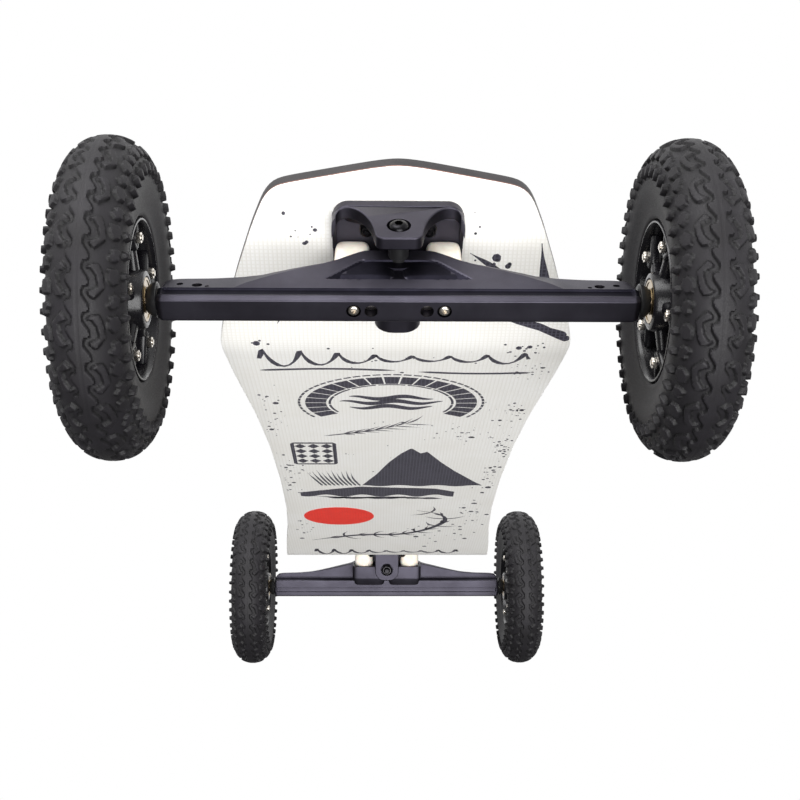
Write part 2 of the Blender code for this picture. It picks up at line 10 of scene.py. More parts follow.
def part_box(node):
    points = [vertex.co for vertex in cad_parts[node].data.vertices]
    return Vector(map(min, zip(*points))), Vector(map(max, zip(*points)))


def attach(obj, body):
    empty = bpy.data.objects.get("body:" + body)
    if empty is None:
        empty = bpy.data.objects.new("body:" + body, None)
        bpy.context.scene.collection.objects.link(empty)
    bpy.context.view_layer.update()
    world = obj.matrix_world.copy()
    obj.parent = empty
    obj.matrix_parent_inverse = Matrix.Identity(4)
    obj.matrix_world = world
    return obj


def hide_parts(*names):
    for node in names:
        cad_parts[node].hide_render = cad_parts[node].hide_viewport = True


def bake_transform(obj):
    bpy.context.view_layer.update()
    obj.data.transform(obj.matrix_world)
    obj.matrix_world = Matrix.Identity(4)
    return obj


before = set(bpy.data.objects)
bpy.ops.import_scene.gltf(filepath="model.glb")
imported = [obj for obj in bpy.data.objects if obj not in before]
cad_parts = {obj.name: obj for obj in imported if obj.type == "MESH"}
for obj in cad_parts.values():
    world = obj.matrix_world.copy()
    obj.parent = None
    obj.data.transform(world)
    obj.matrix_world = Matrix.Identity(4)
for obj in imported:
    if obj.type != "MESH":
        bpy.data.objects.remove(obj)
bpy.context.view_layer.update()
print("frame loaded,", len(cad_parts), "nodes")

# what all pieces share, in metres; a truck's own frame has y along the tip and z square to it
axleLow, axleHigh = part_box("front_axle")
board = {
    "tipAngle": math.radians(30),
    "wheelX": (axleLow[0] + axleHigh[0]) / 2,
    "axleHeight": (axleLow[2] + axleHigh[2]) / 2,
    "wheelOffset": 0.177,
    "axleY": 0.0858,
    "axleZ": -0.0683,
    "kingpinZ": -0.0310,
    "boltX": 0.02065,
    "boltYs": (0.0461, 0.1000),
}
tipCos, tipSin = math.cos(board["tipAngle"]), math.sin(board["tipAngle"])
bendX = board["wheelX"] - board["axleY"] * tipCos + board["axleZ"] * tipSin
deckHeight = board["axleHeight"] - board["axleY"] * tipSin - board["axleZ"] * tipCos
boltSpots = [(x, y) for x in (-board["boltX"], board["boltX"]) for y in board["boltYs"]]
ends = {"front": 1, "rear": -1}
sides = {"left": 1, "right": -1}  # left is +Y
dice = np.random.default_rng(7)


def ease(value, low, high):
    # smooth step: 0 below low, 1 above high, 3t^2 - 2t^3 between
    t = np.clip((np.asarray(value, float) - low) / (high - low), 0, 1)
    return t * t * (3 - 2 * t)


def angles(count):
    # even steps round a whole turn
    return np.arange(count) * 2 * math.pi / count


def squared(turn, power):
    # the two waves of a superellipse: cosine and sine raised to a power, their signs kept
    return [np.sign(wave) * np.abs(wave) ** power for wave in (np.cos(turn), np.sin(turn))]


def mm(profile, hand=1):
    # rows of (radius, height, and flat if any) from millimetres, turned over if hand is -1
    return [(r / 1000, z * hand / 1000, *(flat / 1000 for flat in more)) for r, z, *more in profile]


def rounded(points, passes=3, closed=False):
    # corner cutting: each pass puts two points a quarter in from the ends of every edge
    curve = np.asarray(points, float)
    for _ in range(passes):
        after = np.roll(curve, -1, axis=0)
        near, far = curve * 0.75 + after * 0.25, curve * 0.25 + after * 0.75
        cut = np.stack([near, far], 1).reshape(-1, curve.shape[1])
        curve = cut if closed else np.vstack([curve[:1], cut[:-2], curve[-1:]])
    return curve


def distances(curve):
    # distance run along a polyline up to each of its points
    return np.concatenate([[0], np.cumsum(np.linalg.norm(np.diff(curve, axis=0), axis=1))])


def spaced(points, count, closed=False):
    # points at even distance along a polyline
    curve = np.asarray(points, float)
    if closed:
        curve = np.vstack([curve, curve[:1]])
    run = distances(curve)
    at = np.linspace(0, run[-1], count, endpoint=not closed)
    return np.stack([np.interp(at, run, column) for column in curve.T], 1)


def arc(centre, radii, start, stop, count):
    # part of an ellipse, from one angle to another in degrees
    wide, tall = np.broadcast_to(radii, 2)
    angle = np.radians(np.linspace(start, stop, count))
    return np.stack([centre[0] + wide * np.cos(angle), centre[1] + tall * np.sin(angle)], 1)


def mirrored(half):
    # half an outline followed by its reflection in the y axis
    return np.vstack([half, half[::-1] * (-1, 1)])


def sideways(line):
    # normals of a flat line: its direction turned left by 90 degrees
    step = np.gradient(line, axis=0)
    step /= np.linalg.norm(step, axis=1, keepdims=True)
    return np.stack([-step[:, 1], step[:, 0]], 1)


def outwards(outline):
    # normals of a closed flat outline: its tangent turned by 90 degrees, away from its middle
    step = np.roll(outline, -1, axis=0) - np.roll(outline, 1, axis=0)
    normal = np.stack([step[:, 1], -step[:, 0]], 1)
    normal /= np.maximum(np.linalg.norm(normal, axis=1, keepdims=True), 1e-12)
    x, y = outline.T
    area = (x * np.roll(y, -1) - y * np.roll(x, -1)).sum()
    return normal if area > 0 else -normal


def shell(grid, wrapRows=False, tone=0):
    # quads between neighbouring grid points, the last column joined to the first, turned so that
    # the closed surface faces outwards
    rows, columns = grid.shape[:2]
    index = np.arange(rows * columns).reshape(rows, columns)
    if wrapRows:
        index = np.vstack([index, index[:1]])
    index = np.hstack([index, index[:, :1]])
    quads = np.stack([index[:-1, :-1], index[:-1, 1:], index[1:, 1:], index[1:, :-1]], -1)
    tones = np.broadcast_to(tone, quads.shape[:2]).ravel()
    quads = quads.reshape(-1, 4)
    points = grid.reshape(-1, 3)
    a, b, c, d = (points[quads[:, i]] for i in range(4))
    volume = (a * np.cross(b, c)).sum() + (a * np.cross(c, d)).sum()
    return points, quads if volume > 0 else quads[:, ::-1], tones


def capped(rows):
    # closes both ends of a loft with a row drawn together to its own middle
    first, last = rows[:1].mean(1, keepdims=True), rows[-1:].mean(1, keepdims=True)
    width = rows.shape[1]
    return np.concatenate([first.repeat(width, 1), rows, last.repeat(width, 1)])


def turned(profile, count=48):
    # (radius, height, flat) rows turned about z: radius is the smaller of the circle and,
    # where flat is given, a hexagon with that half width across flats
    noFlat = [9.0]  # metres, wider than any circle here
    rows = np.array([(r, h, (more or noFlat)[0]) for r, h, *more in profile], float)
    angle = angles(count)
    wedge = (angle + math.pi / 6) % (math.pi / 3) - math.pi / 6
    radius = np.minimum(rows[:, :1], rows[:, 2:] / np.cos(wedge)[None])
    height = np.broadcast_to(rows[:, 1:2], radius.shape)
    return np.stack([radius * np.cos(angle), radius * np.sin(angle), height], -1)


def ring(profile, count=48, hand=1):
    # a profile in mm that closes on itself, turned about z
    return shell(turned(mm(profile, hand), count), wrapRows=True)


def carried(path, width, height, sharp=3.0, count=16):
    # a rounded rectangle (superellipse) carried along a path in the xy plane, its height along z
    across = np.pad(sideways(path[:, :2]), ((0, 0), (0, 1)))
    u, v = squared(angles(count), 2 / sharp)
    wide, tall = (np.broadcast_to(size, len(path))[:, None, None] / 2 for size in (width, height))
    up = np.array([0.0, 0.0, 1.0])
    rows = path[:, None] + across[:, None] * u[None, :, None] * wide + up * v[None, :, None] * tall
    return shell(capped(rows))


def slab(outline, low, high, edge=0.0006, steps=3):
    # a flat outline given thickness along z, its rims rounded by quarter circles of the edge radius
    normal = outwards(outline)
    turn = np.linspace(0, math.pi / 2, steps + 1)
    inset, rise = edge * (1 - np.sin(turn)), edge * (1 - np.cos(turn))
    rings = [*zip(inset, low + rise), *zip(inset[::-1], high - rise[::-1])]
    return np.stack([np.column_stack([outline - normal * a, np.full(len(outline), z)]) for a, z in rings])


def stood(rows):
    # a slab's rows turned so that its thickness runs along y
    return rows[..., [0, 2, 1]]


def framed(points, origin, xAxis, yAxis, zAxis):
    # points given along three axes from an origin
    return np.asarray(origin, float) + np.asarray(points, float) @ np.array([xAxis, yAxis, zAxis], float)


def inTruck(points, side):
    # truck frame to the board's: x across, y up the tip, z square to the tip
    axes = (0, -side, 0), (side * tipCos, 0, tipSin), (-side * tipSin, 0, tipCos)
    return framed(points, (side * bendX, 0, deckHeight), *axes)


def inWheel(points, side, hand, turn=0.0):
    # wheel frame to the board's: z points away from the board along the axle
    c, s = math.cos(turn), math.sin(turn)
    axes = (c, 0, -s * hand), (-s, 0, -c * hand), (0, hand, 0)
    middle = (side * board["wheelX"], hand * board["wheelOffset"], board["axleHeight"])
    return framed(points, middle, *axes)


def standing(points, centre, axis):
    # turns a shape made about z to stand at centre along x, y or z of the truck frame
    axes = {
        "x": ((0, 1, 0), (0, 0, 1), (1, 0, 0)),
        "y": ((0, 0, 1), (1, 0, 0), (0, 1, 0)),
        "z": ((1, 0, 0), (0, 1, 0), (0, 0, 1)),
    }
    return framed(points, centre, *axes[axis])


def rod(radius, low, high, centre, axis, count=32):
    # a solid cylinder between two heights
    profile = [(0, low), (radius, low), (radius, high), (0, high)]
    return shell(standing(turned(profile, count), centre, axis))


def meshOf(name, shells, place=None, flatMap=False, clean=True):
    # joins shells into one mesh and merges doubles; the flat map keeps each point's own x and y
    points, faces, tones, start = [], [], [], 0
    for vertices, quads, tone in shells:
        points.append(vertices)
        faces.append(quads + start)
        tones.append(tone)
        start += len(vertices)
    raw, quads = np.concatenate(points), np.concatenate(faces)
    mesh = bpy.data.meshes.new(name)
    mesh.from_pydata(raw if place is None else place(raw), [], quads)
    mesh.polygons.foreach_set("material_index", np.concatenate(tones).astype(np.int32))
    if flatMap:
        layer = mesh.uv_layers.new(name="flat")
        layer.data.foreach_set("uv", raw[quads.ravel(), :2].astype(np.float32).ravel())
    if clean:
        bm = bmesh.new()
        bm.from_mesh(mesh)
        bmesh.ops.remove_doubles(bm, verts=bm.verts, dist=0.000002)
        bm.to_mesh(mesh)
        bm.free()
    return mesh


def prismMesh(name, rows, place):
    # a closed prism from slab's rows: quads round the side and one face at each end
    count = rows.shape[1]
    bm = bmesh.new()
    verts = [bm.verts.new(point) for point in place(rows.reshape(-1, 3))]
    for start in range(0, (len(rows) - 1) * count, count):
        for c in range(count):
            a, b = start + c, start + (c + 1) % count
            bm.faces.new([verts[i] for i in (a, b, b + count, a + count)])
    bm.faces.new(verts[:count][::-1])
    bm.faces.new(verts[-count:])
    bmesh.ops.recalc_face_normals(bm, faces=bm.faces)
    mesh = bpy.data.meshes.new(name)
    bm.to_mesh(mesh)
    bm.free()
    return mesh


def newObject(name, mesh):
    # an object at the origin, linked to the scene
    made = bpy.data.objects.new(name, mesh)
    bpy.context.scene.collection.objects.link(made)
    return made


def applyModifiers(made):
    # bakes the modifiers into the mesh
    bpy.context.view_layer.update()
    evaluated = made.evaluated_get(bpy.context.evaluated_depsgraph_get())
    mesh = bpy.data.meshes.new_from_object(evaluated)
    made.modifiers.clear()
    made.data = mesh


def combine(made, mesh, operation="DIFFERENCE"):
    # cuts the mesh out of the piece, or adds it
    other = newObject("other", mesh)
    modifier = made.modifiers.new("cut", "BOOLEAN")
    modifier.operation = operation
    modifier.solver = "EXACT"
    modifier.use_self = operation == "DIFFERENCE"
    modifier.object = other
    applyModifiers(made)
    bpy.data.objects.remove(other, do_unlink=True)


def dress(made, *names):
    # fills the piece's material slots in this order
    for name in names:
        made.data.materials.append(materials[name])


def finishPiece(made, body, nodes=(), smooth=35, weighted=False):
    # smooth shading up to an angle; weighted lets big flat faces keep their own normal
    made.data.shade_smooth()
    made.data.set_sharp_from_angle(angle=math.radians(smooth))
    if weighted:
        made.modifiers.new("flat", "WEIGHTED_NORMAL").keep_sharp = True
        applyModifiers(made)
    if body:
        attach(made, body)
    if nodes:
        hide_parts(*nodes)


def makePiece(name, shells, finish, body, slot, nodes=(), place=None, smooth=35, **more):
    # a piece of one finish, from its shells
    made = newObject(name, meshOf(name, shells, place, **more))
    dress(made, finish)
    finishPiece(made, body, nodes, smooth)
    return made


def linear(code):
    # sRGB hex to linear light
    parts = [int(code[i : i + 2], 16) / 255 for i in (1, 3, 5)]
    return tuple(c / 12.92 if c <= 0.04045 else ((c + 0.055) / 1.055) ** 2.4 for c in parts) + (1.0,)


def add(tree, kind, values=None, links=None, **settings):
    # one node with its settings, values and links
    made = tree.nodes.new(kind)
    for name, value in settings.items():
        setattr(made, name, value)
    for name, value in (values or {}).items():
        made.inputs[name].default_value = value
    for name, source in (links or {}).items():
        tree.links.new(source, made.inputs[name])
    return made


def mixColour(tree, factor, first, second):
    # a colour mix; either colour may be a fixed value or another node's output
    made = add(tree, "ShaderNodeMix", data_type="RGBA")
    inputs = {socket.identifier: socket for socket in made.inputs}
    for key, source in (("Factor_Float", factor), ("A_Color", first), ("B_Color", second)):
        if isinstance(source, tuple):
            inputs[key].default_value = source
        else:
            tree.links.new(source, inputs[key])
    return next(socket for socket in made.outputs if socket.identifier == "Result_Color")


# each finish: two colours in broad blotches, a fine grain that moves roughness (least, most)
# and bump, and where it has them a worn edge (colour, pointiness from and to, amount), a painted
# shade colour for the tyre's lugs, or a colour on embossed ribs (colour, amount)
finishes = {
    # type II black anodising over a bead-blasted forging: satin, slightly violet, bare on worn edges
    "blackAnodisedAluminium": {
        "colours": ("#47454e", "#3c3a42"), "blotchMm": 40, "grainMm": 0.5, "roughness": (0.42, 0.55),
        "metallic": 1.0, "bump": 0.25, "depthMm": 0.03, "edge": ("#6d6b75", 0.54, 0.62, 0.45),
    },
    # painted shade: the same anodising drawn nearly black in recesses and holes, where shade falls
    "paintedRecessShade": {
        "colours": ("#201f27", "#19181f"), "blotchMm": 20, "grainMm": 0.5, "roughness": (0.42, 0.55),
        "metallic": 1.0, "bump": 0.25, "depthMm": 0.03,
    },
    # bright zinc plate on turned steel: a little yellow, fine turning marks
    "zincPlatedSteel": {
        "colours": ("#e6e0d6", "#cbc4ba"), "blotchMm": 6, "grainMm": 0.3, "roughness": (0.18, 0.34),
        "metallic": 1.0, "depthMm": 0.02,
    },
    # hot black oxide, oiled: dark, semi-gloss
    "blackOxideSteel": {
        "colours": ("#1d1d1f", "#29282a"), "blotchMm": 5, "grainMm": 0.4, "roughness": (0.22, 0.36),
        "metallic": 1.0, "depthMm": 0.02, "edge": ("#6c6a6a", 0.56, 0.66, 0.5),
    },
    # ground bearing steel with a thin film of grease, warm
    "groundBearingSteel": {
        "colours": ("#94815f", "#7c6a4e"), "blotchMm": 8, "grainMm": 0.3, "roughness": (0.12, 0.24),
        "metallic": 1.0, "depthMm": 0.01,
    },
    # cast ivory urethane: soft gloss, faint mottling
    "castUrethane": {
        "colours": ("#f3ece0", "#e6dccb"), "blotchMm": 9, "grainMm": 0.8, "roughness": (0.34, 0.48),
        "ior": 1.5, "depthMm": 0.05, "more": {"Subsurface Weight": 0.12, "Subsurface Scale": 0.003},
    },
    # moulded black acetal: dull gloss
    "blackAcetal": {
        "colours": ("#161617", "#1f1f20"), "blotchMm": 6, "grainMm": 0.5, "roughness": (0.32, 0.45),
        "ior": 1.48,
    },
    # carbon-black tyre rubber: matt, with painted shade on the sides and at the foot of each lug
    "tyreRubber": {
        "colours": ("#1b191d", "#141215"), "blotchMm": 18, "grainMm": 0.7, "roughness": (0.52, 0.72),
        "ior": 1.52, "bump": 0.4, "depthMm": 0.12, "paintedShade": "#020202",
        "more": {"Specular IOR Level": 0.32},
    },
    # glass-filled nylon moulded in a polished tool: near mirror black
    "glossyNylon": {
        "colours": ("#0e0d10", "#17161a"), "blotchMm": 14, "grainMm": 1.2, "roughness": (0.20, 0.32),
        "ior": 1.53, "bump": 0.04, "depthMm": 0.02, "more": {"Specular IOR Level": 0.35},
    },
    # coarse silicon-carbide grit glued to the deck, 0.6 mm grains drawn at 1 mm so that they show
    "gritTape": {
        "colours": ("#131313", "#1e1e1f"), "blotchMm": 30, "grainMm": 1.0, "roughness": (0.7, 0.95),
        "ior": 1.55, "bump": 0.9, "depthMm": 0.35,
    },
    # black lacquer over the laminate's cut edge: half matt
    "edgeLacquer": {
        "colours": ("#1a1719", "#262123"), "blotchMm": 16, "grainMm": 0.8, "roughness": (0.5, 0.65),
        "ior": 1.5,
    },
    # bare bottom veneer, red-brown, seen as a thin line
    "redwoodVeneer": {
        "colours": ("#6d4a40", "#8a6253"), "blotchMm": 7, "grainMm": 0.6, "roughness": (0.5, 0.65),
        "ior": 1.5,
    },
    # white thermoplastic base sheet, hot-embossed with a square grid: low gloss; its ribs take a painted
    # shade, a little darker
    "embossedSheet": {
        "colours": ("#fbfaf7", "#f6f4ef"), "blotchMm": 60, "grainMm": 1.5, "roughness": (0.30, 0.42),
        "ior": 1.49, "bump": 0.1, "depthMm": 0.03, "rib": ("#e4e1d8", 0.5),
    },
    # screen ink on the same sheet, paler where it lies thin on the ribs
    "blackInk": {
        "colours": ("#2c2a33", "#3a3842"), "blotchMm": 12, "grainMm": 1.0, "roughness": (0.34, 0.5),
        "ior": 1.5, "rib": ("#5a5864", 0.8),
    },
    "redInk": {
        "colours": ("#fb3320", "#f02c1c"), "blotchMm": 12, "grainMm": 1.0, "roughness": (0.34, 0.5),
        "ior": 1.5, "rib": ("#e8402e", 0.5),
    },
}
emboss = {"pitchMm": 3.0, "depthMm": 0.12, "lengthways": 0.85}


def newMaterial(name, finish):
    # a Principled surface from a finish: colour from blotches, worn edge and painted shade, the fine
    # grain for roughness and bump, and the embossed grid where the finish has ribs
    material = bpy.data.materials.new(name)
    material.use_nodes = True
    tree = material.node_tree
    shader = tree.nodes["Principled BSDF"]
    where = {"Vector": add(tree, "ShaderNodeTexCoord").outputs["Object"]}
    broad = {"Scale": 1000 / finish["blotchMm"], "Detail": 4.0, "Roughness": 0.6}
    fine = {"Scale": 1000 / finish["grainMm"], "Detail": 3.0, "Roughness": 0.55}
    blotch = add(tree, "ShaderNodeTexNoise", broad, where).outputs["Fac"]
    grain = add(tree, "ShaderNodeTexNoise", fine, where).outputs["Fac"]
    spread = add(tree, "ShaderNodeMapRange", {"From Min": 0.35, "From Max": 0.65}, {"Value": blotch})
    colour = mixColour(tree, spread.outputs["Result"], *map(linear, finish["colours"]))
    if "edge" in finish:
        bare, start, stop, amount = finish["edge"]
        point = add(tree, "ShaderNodeNewGeometry").outputs["Pointiness"]
        limits = {"From Min": start, "From Max": stop, "To Max": amount}
        worn = add(tree, "ShaderNodeMapRange", limits, {"Value": point})
        colour = mixColour(tree, worn.outputs["Result"], colour, linear(bare))
    # painted shade: a per-point attribute darkens the colour where shade falls on the tyre's lugs
    if "paintedShade" in finish:
        paintedShade = add(tree, "ShaderNodeAttribute", attribute_name="paintedShade")
        colour = mixColour(tree, paintedShade.outputs["Fac"], colour, linear(finish["paintedShade"]))
    least, most = finish["roughness"]
    limits = {"From Min": 0.3, "From Max": 0.7, "To Min": least, "To Max": most}
    gloss = add(tree, "ShaderNodeMapRange", limits, {"Value": grain})
    depth = {"Strength": finish.get("bump", 0.3), "Distance": finish.get("depthMm", 0.05) / 1000}
    normal = add(tree, "ShaderNodeBump", depth, {"Height": grain}).outputs["Normal"]
    if "rib" in finish:
        colour, normal = embossed(tree, colour, normal, *finish["rib"])
    tree.links.new(colour, shader.inputs["Base Color"])
    tree.links.new(gloss.outputs["Result"], shader.inputs["Roughness"])
    tree.links.new(normal, shader.inputs["Normal"])
    shader.inputs["Metallic"].default_value = finish.get("metallic", 0.0)
    if "ior" in finish:
        shader.inputs["IOR"].default_value = finish["ior"]
    for name, value in finish.get("more", {}).items():
        shader.inputs[name].default_value = value
    return material


def embossed(tree, colour, normal, ribColour, amount):
    # the sheet's square grid from the flat map: height is the larger of two cosines, one along
    # and one across the board, and the ribs take a second colour: painted shade on the white sheet, thinner
    # paler ink on the inks
    spot = add(tree, "ShaderNodeUVMap", uv_map="flat").outputs["UV"]
    turns = (2 * math.pi * 1000 / emboss["pitchMm"],) * 3
    scaled = add(tree, "ShaderNodeVectorMath", {1: turns}, {0: spot}, operation="MULTIPLY").outputs["Vector"]
    parts = add(tree, "ShaderNodeSeparateXYZ", None, {"Vector": scaled}).outputs
    along, across = (add(tree, "ShaderNodeMath", None, {0: parts[k]}, operation="COSINE") for k in ("X", "Y"))
    weight = {1: emboss["lengthways"]}
    along = add(tree, "ShaderNodeMath", weight, {0: along.outputs[0]}, operation="MULTIPLY")
    both = {0: along.outputs[0], 1: across.outputs[0]}
    height = add(tree, "ShaderNodeMath", None, both, operation="MAXIMUM").outputs[0]
    depth = {"Strength": 0.5, "Distance": emboss["depthMm"] / 1000}
    grid = add(tree, "ShaderNodeBump", depth, {"Height": height, "Normal": normal})
    limits = {"From Min": 0.2, "From Max": 1.0, "To Max": amount}
    shade = add(tree, "ShaderNodeMapRange", limits, {"Value": height})
    return mixColour(tree, shade.outputs["Result"], colour, linear(ribColour)), grid.outputs["Normal"]


materials = {name: newMaterial(name, finish) for name, finish in finishes.items()}
print("materials made,", len(materials))

deck = {
    "thickness": 0.0120,
    "bendRadius": 0.080,
    "edge": 0.0010,
    "veneer": (0.0003, 0.0015),  # above the rounded edge
    "gripInset": 0.0030,
    "gripThickness": 0.0010,
    "stations": 300,
    # distance past the bend line, half width
    "outline": (
        (-bendX, 0.109), (0.110 - bendX, 0.1105), (0.200 - bendX, 0.1150), (0.290 - bendX, 0.1225),
        (-0.005, 0.1262), (0.015, 0.1225), (0.060, 0.1095), (0.095, 0.0978), (0.118, 0.0885),
        (0.1265, 0.0815), (0.1295, 0.0690), (0.1375, 0.0290), (0.1405, 0.0130), (0.1420, 0.0),
    ),
    "boltHole": ((0, 12.5), (6.2, 12.5), (2.8, 9.0), (2.8, -20), (0, -20)),  # mm, countersunk
    "gripHole": ((0, 30), (6.5, 30), (6.5, 0), (0, 0)),
}


def bent(points):
    # (distance along the underside, across, height) folded up at both ends on an arc
    along, across, height = np.asarray(points, float).T
    radius, angle = deck["bendRadius"], board["tipAngle"]
    start = bendX - radius * math.tan(angle / 2)
    distance = np.abs(along)
    turn = np.clip((distance - start) / radius, 0, angle)
    past = distance - bendX
    onArc = distance < start + radius * angle
    x = np.where(onArc, start + radius * np.sin(turn), bendX + past * tipCos)
    z = np.where(onArc, radius * (1 - np.cos(turn)), past * tipSin)
    x = np.where(distance <= start, distance, x)
    x = np.sign(along) * (x - height * np.sin(turn))
    return np.stack([x, across, deckHeight + z + height * np.cos(turn)], 1)


def deckLoop(inset=0.0):
    # closed outline, nose tip first, from the mirrored quarter with its corners softened
    front = np.array([(s + bendX, w) for s, w in deck["outline"]])[::-1]
    half = np.vstack([front, front[-2::-1] * (-1, 1)])
    loop = np.vstack([half, half[-2:0:-1] * (1, -1)])
    loop = spaced(loop, 2 * deck["stations"], closed=True)
    for _ in range(3):
        loop = (np.roll(loop, 1, 0) + 2 * loop + np.roll(loop, -1, 0)) / 4
    return loop - outwards(loop) * inset


def sheetShell(inset, low, high, edge, bands):
    # rows run from nose to tail, columns round the section: across the bottom, up the rounded
    # edge, back across the top; bands gives a tone to each height on the edge
    outline = deckLoop(inset)
    count = len(outline) // 2 + 1
    outline, normal = outline[:count], outwards(outline)[:count]
    outline[[0, -1], 1] = 0.0
    turn = np.linspace(0, math.pi / 2, 4)
    inner = outline - normal * edge
    spread = 1 - np.linspace(1, 0, 9)[:-1]
    columns = [(inner * (1, t), low) for t in spread]
    columns += [(outline - normal * edge * (1 - math.sin(a)), low + edge * (1 - math.cos(a))) for a in turn]
    columns += [(outline, z) for z, _ in bands]
    columns += [(outline - normal * edge * (1 - math.cos(a)), high - edge * (1 - math.sin(a))) for a in turn]
    columns += [(inner * (1, t), high) for t in spread[::-1]]
    near = np.stack([np.column_stack([flat, np.full(count, z)]) for flat, z in columns], 1)
    grid = np.concatenate([near, near[:, ::-1] * (1, -1, 1)], 1)
    tones = np.zeros(len(columns), int)
    heights = np.array([z for _, z in columns])
    for z, tone in bands:
        tones[heights >= z - 1e-9] = tone
    tones = np.concatenate([tones, tones[-2::-1], tones[:1]])
    return shell(grid, tone=tones[None, :])


def boltHoles(profile):
    # one cutter mesh with a turned hole at every truck bolt
    shells = []
    for side in ends.values():
        for spot in boltSpots:
            hole = standing(turned(mm(profile), 24), (*spot, 0), "z")
            shells.append(shell(inTruck(hole, side)))
    return meshOf("boltHoles", shells)


def makeSheet(name, sheet, finishNames, holes, node, **more):
    # a sheet bent over the tips and drilled for the truck bolts
    made = newObject(name, meshOf(name, [sheet], bent, **more))
    dress(made, *finishNames)
    combine(made, boltHoles(holes))
    finishPiece(made, "board", [node])


def makeDeck():
    # the laminate from its bottom sheet to the grip sheet's seat, then the grip sheet over it
    edge, thickness = deck["edge"], deck["thickness"]
    low, high = deck["veneer"]
    laminate = sheetShell(0.0, 0.0, thickness, edge, ((low + edge, 1), (high + edge, 2), (thickness / 2, 2)))
    skins = ("embossedSheet", "redwoodVeneer", "edgeLacquer")
    makeSheet("deck_laminate", laminate, skins, deck["boltHole"], "deck", flatMap=True)
    low = thickness + 0.0003
    grip = sheetShell(deck["gripInset"], low, low + deck["gripThickness"], 0.0003, ((low + 0.0005, 0),))
    makeSheet("grip_sheet", grip, ["gritTape"], deck["gripHole"], "grip_tape")


makeDeck()
print("deck made")

# printed artwork, in millimetres along and across the board
ink = {"low": -0.00010, "high": 0.00010, "widestSpeckle": 3.2, "furthestSpeckle": 488}


def ribbon(left, right):
    # the strip between two curves with the same number of points, given the ink's thickness
    left, right = np.asarray(left, float) / 1000, np.asarray(right, float) / 1000
    corners = [(left, ink["low"]), (right, ink["low"]), (right, ink["high"]), (left, ink["high"])]
    rows = np.stack([np.column_stack([flat, np.full(len(flat), z)]) for flat, z in corners], 1)
    return shell(capped(rows))


def brushed(line, wide):
    # the strip that a brush of changing width leaves along a line
    across = sideways(line) * wide[:, None] / 2
    return ribbon(line + across, line - across)


def stroke(points, width, taper=(0.15, 0.15)):
    # a smooth line with its width eased in and out at the ends
    line = spaced(rounded(points), 30)
    t = np.linspace(0, 1, len(line))
    pressure = ease(t, 0, taper[0] + 1e-6) * ease(1 - t, 0, taper[1] + 1e-6)
    return brushed(line, width * (pressure * 0.92 + 0.08))


def strokes(*rows):
    # several strokes: points, width, taper
    return [stroke(*row) for row in rows]


def disc(centre, radius, stretch=1.0, count=7):
    # a flat spot: a low ring and a high ring, both closed to the middle
    angle = angles(count) + centre[0]
    edge = np.stack([np.cos(angle) * radius * stretch, np.sin(angle) * radius], 1)
    rows = [(0.0, ink["low"]), (1.0, ink["low"]), (1.0, ink["high"]), (0.0, ink["high"])]
    flat = [np.column_stack([(edge * t + centre) / 1000, np.full(count, z)]) for t, z in rows]
    return shell(np.stack(flat))


def waveLine(s, y0, y1, amplitude, waves, width):
    # a long hand-drawn wave: a sine whose height drifts, leaning a little, its width pulsing
    t = np.linspace(0, 1, 90)
    turn = t * waves * 2 * math.pi
    along = s + amplitude * np.sin(turn) * (0.65 + 0.35 * np.cos(t * 5))
    lean = np.linspace(y0, y1, 90) + amplitude * 0.2 * np.cos(turn)
    return brushed(np.stack([along, lean], 1), width * (0.7 + 0.3 * np.sin(2 * turn)))


def archBand(outer, inner, reach, blocks, gap, centre=(226, -2)):
    # an open ring of dark blocks, like a sundial's rim: ellipses from -reach to reach degrees
    shells = []
    edges = np.linspace(math.radians(-reach), math.radians(reach), blocks + 1)
    for a, b in zip(edges[:-1], edges[1:]):
        angle = np.linspace(a + gap, b - gap, 7)
        spin = np.stack([np.cos(angle), np.sin(angle)], 1)
        shells.append(ribbon(spin * outer + centre, spin * inner + centre))
    return shells


def ridge(base, peaks, width):
    # a mountain side: the area between a low wavy line and a jagged high line
    peaks = np.asarray(peaks, float)
    y = np.linspace(peaks[0, 1], peaks[-1, 1], 60)
    top = np.interp(y, peaks[:, 1], peaks[:, 0])
    low = np.minimum(np.full_like(y, base) + width * np.sin(y / 6.0), top - 0.2)
    return ribbon(np.stack([top, y], 1), np.stack([low, y], 1))


def speckles(s, y, spreadS, spreadY, count, size):
    # spots scattered normally about a point, sizes log-normal, kept inside the board's outline
    spots = np.stack([dice.normal(s, spreadS, count), dice.normal(y, spreadY, count)], 1)
    sizes = size * np.exp(dice.normal(-0.3, 0.55, count))
    limit = np.interp(np.abs(spots[:, 0]), (0, 200, 290, 350, 420, 470), (104, 110, 117, 120, 105, 85))
    shells = []
    for spot, radius, most in zip(spots, sizes, limit):
        if abs(spot[1]) < most and abs(spot[0]) < ink["furthestSpeckle"]:
            shells.append(disc(spot, min(radius, ink["widestSpeckle"]), dice.uniform(0.8, 1.3)))
    return shells


def sundial():
    # an open ring with a dashed line inside its rim and three waves in the middle
    shells = archBand((61, 70), (46, 53), 124, 21, 0.012) + archBand((45, 51), (43.2, 49), 120, 9, 0.02)
    shells += archBand((67, 76), (65, 74), 122, 40, 0.012)
    for step, (offset, reach) in enumerate(((14, 34), (3, 42), (-9, 34))):
        y = np.linspace(-reach, reach, 40)
        crest = 226 + offset + 3.2 * np.sin(y / 6.5 + step)
        thick = 4.2 * np.cos(y / reach * math.pi / 2) ** 0.7 + 0.3
        shells.append(ribbon(np.stack([crest + thick, y - 2], 1), np.stack([crest - thick, y - 2], 1)))
    return shells


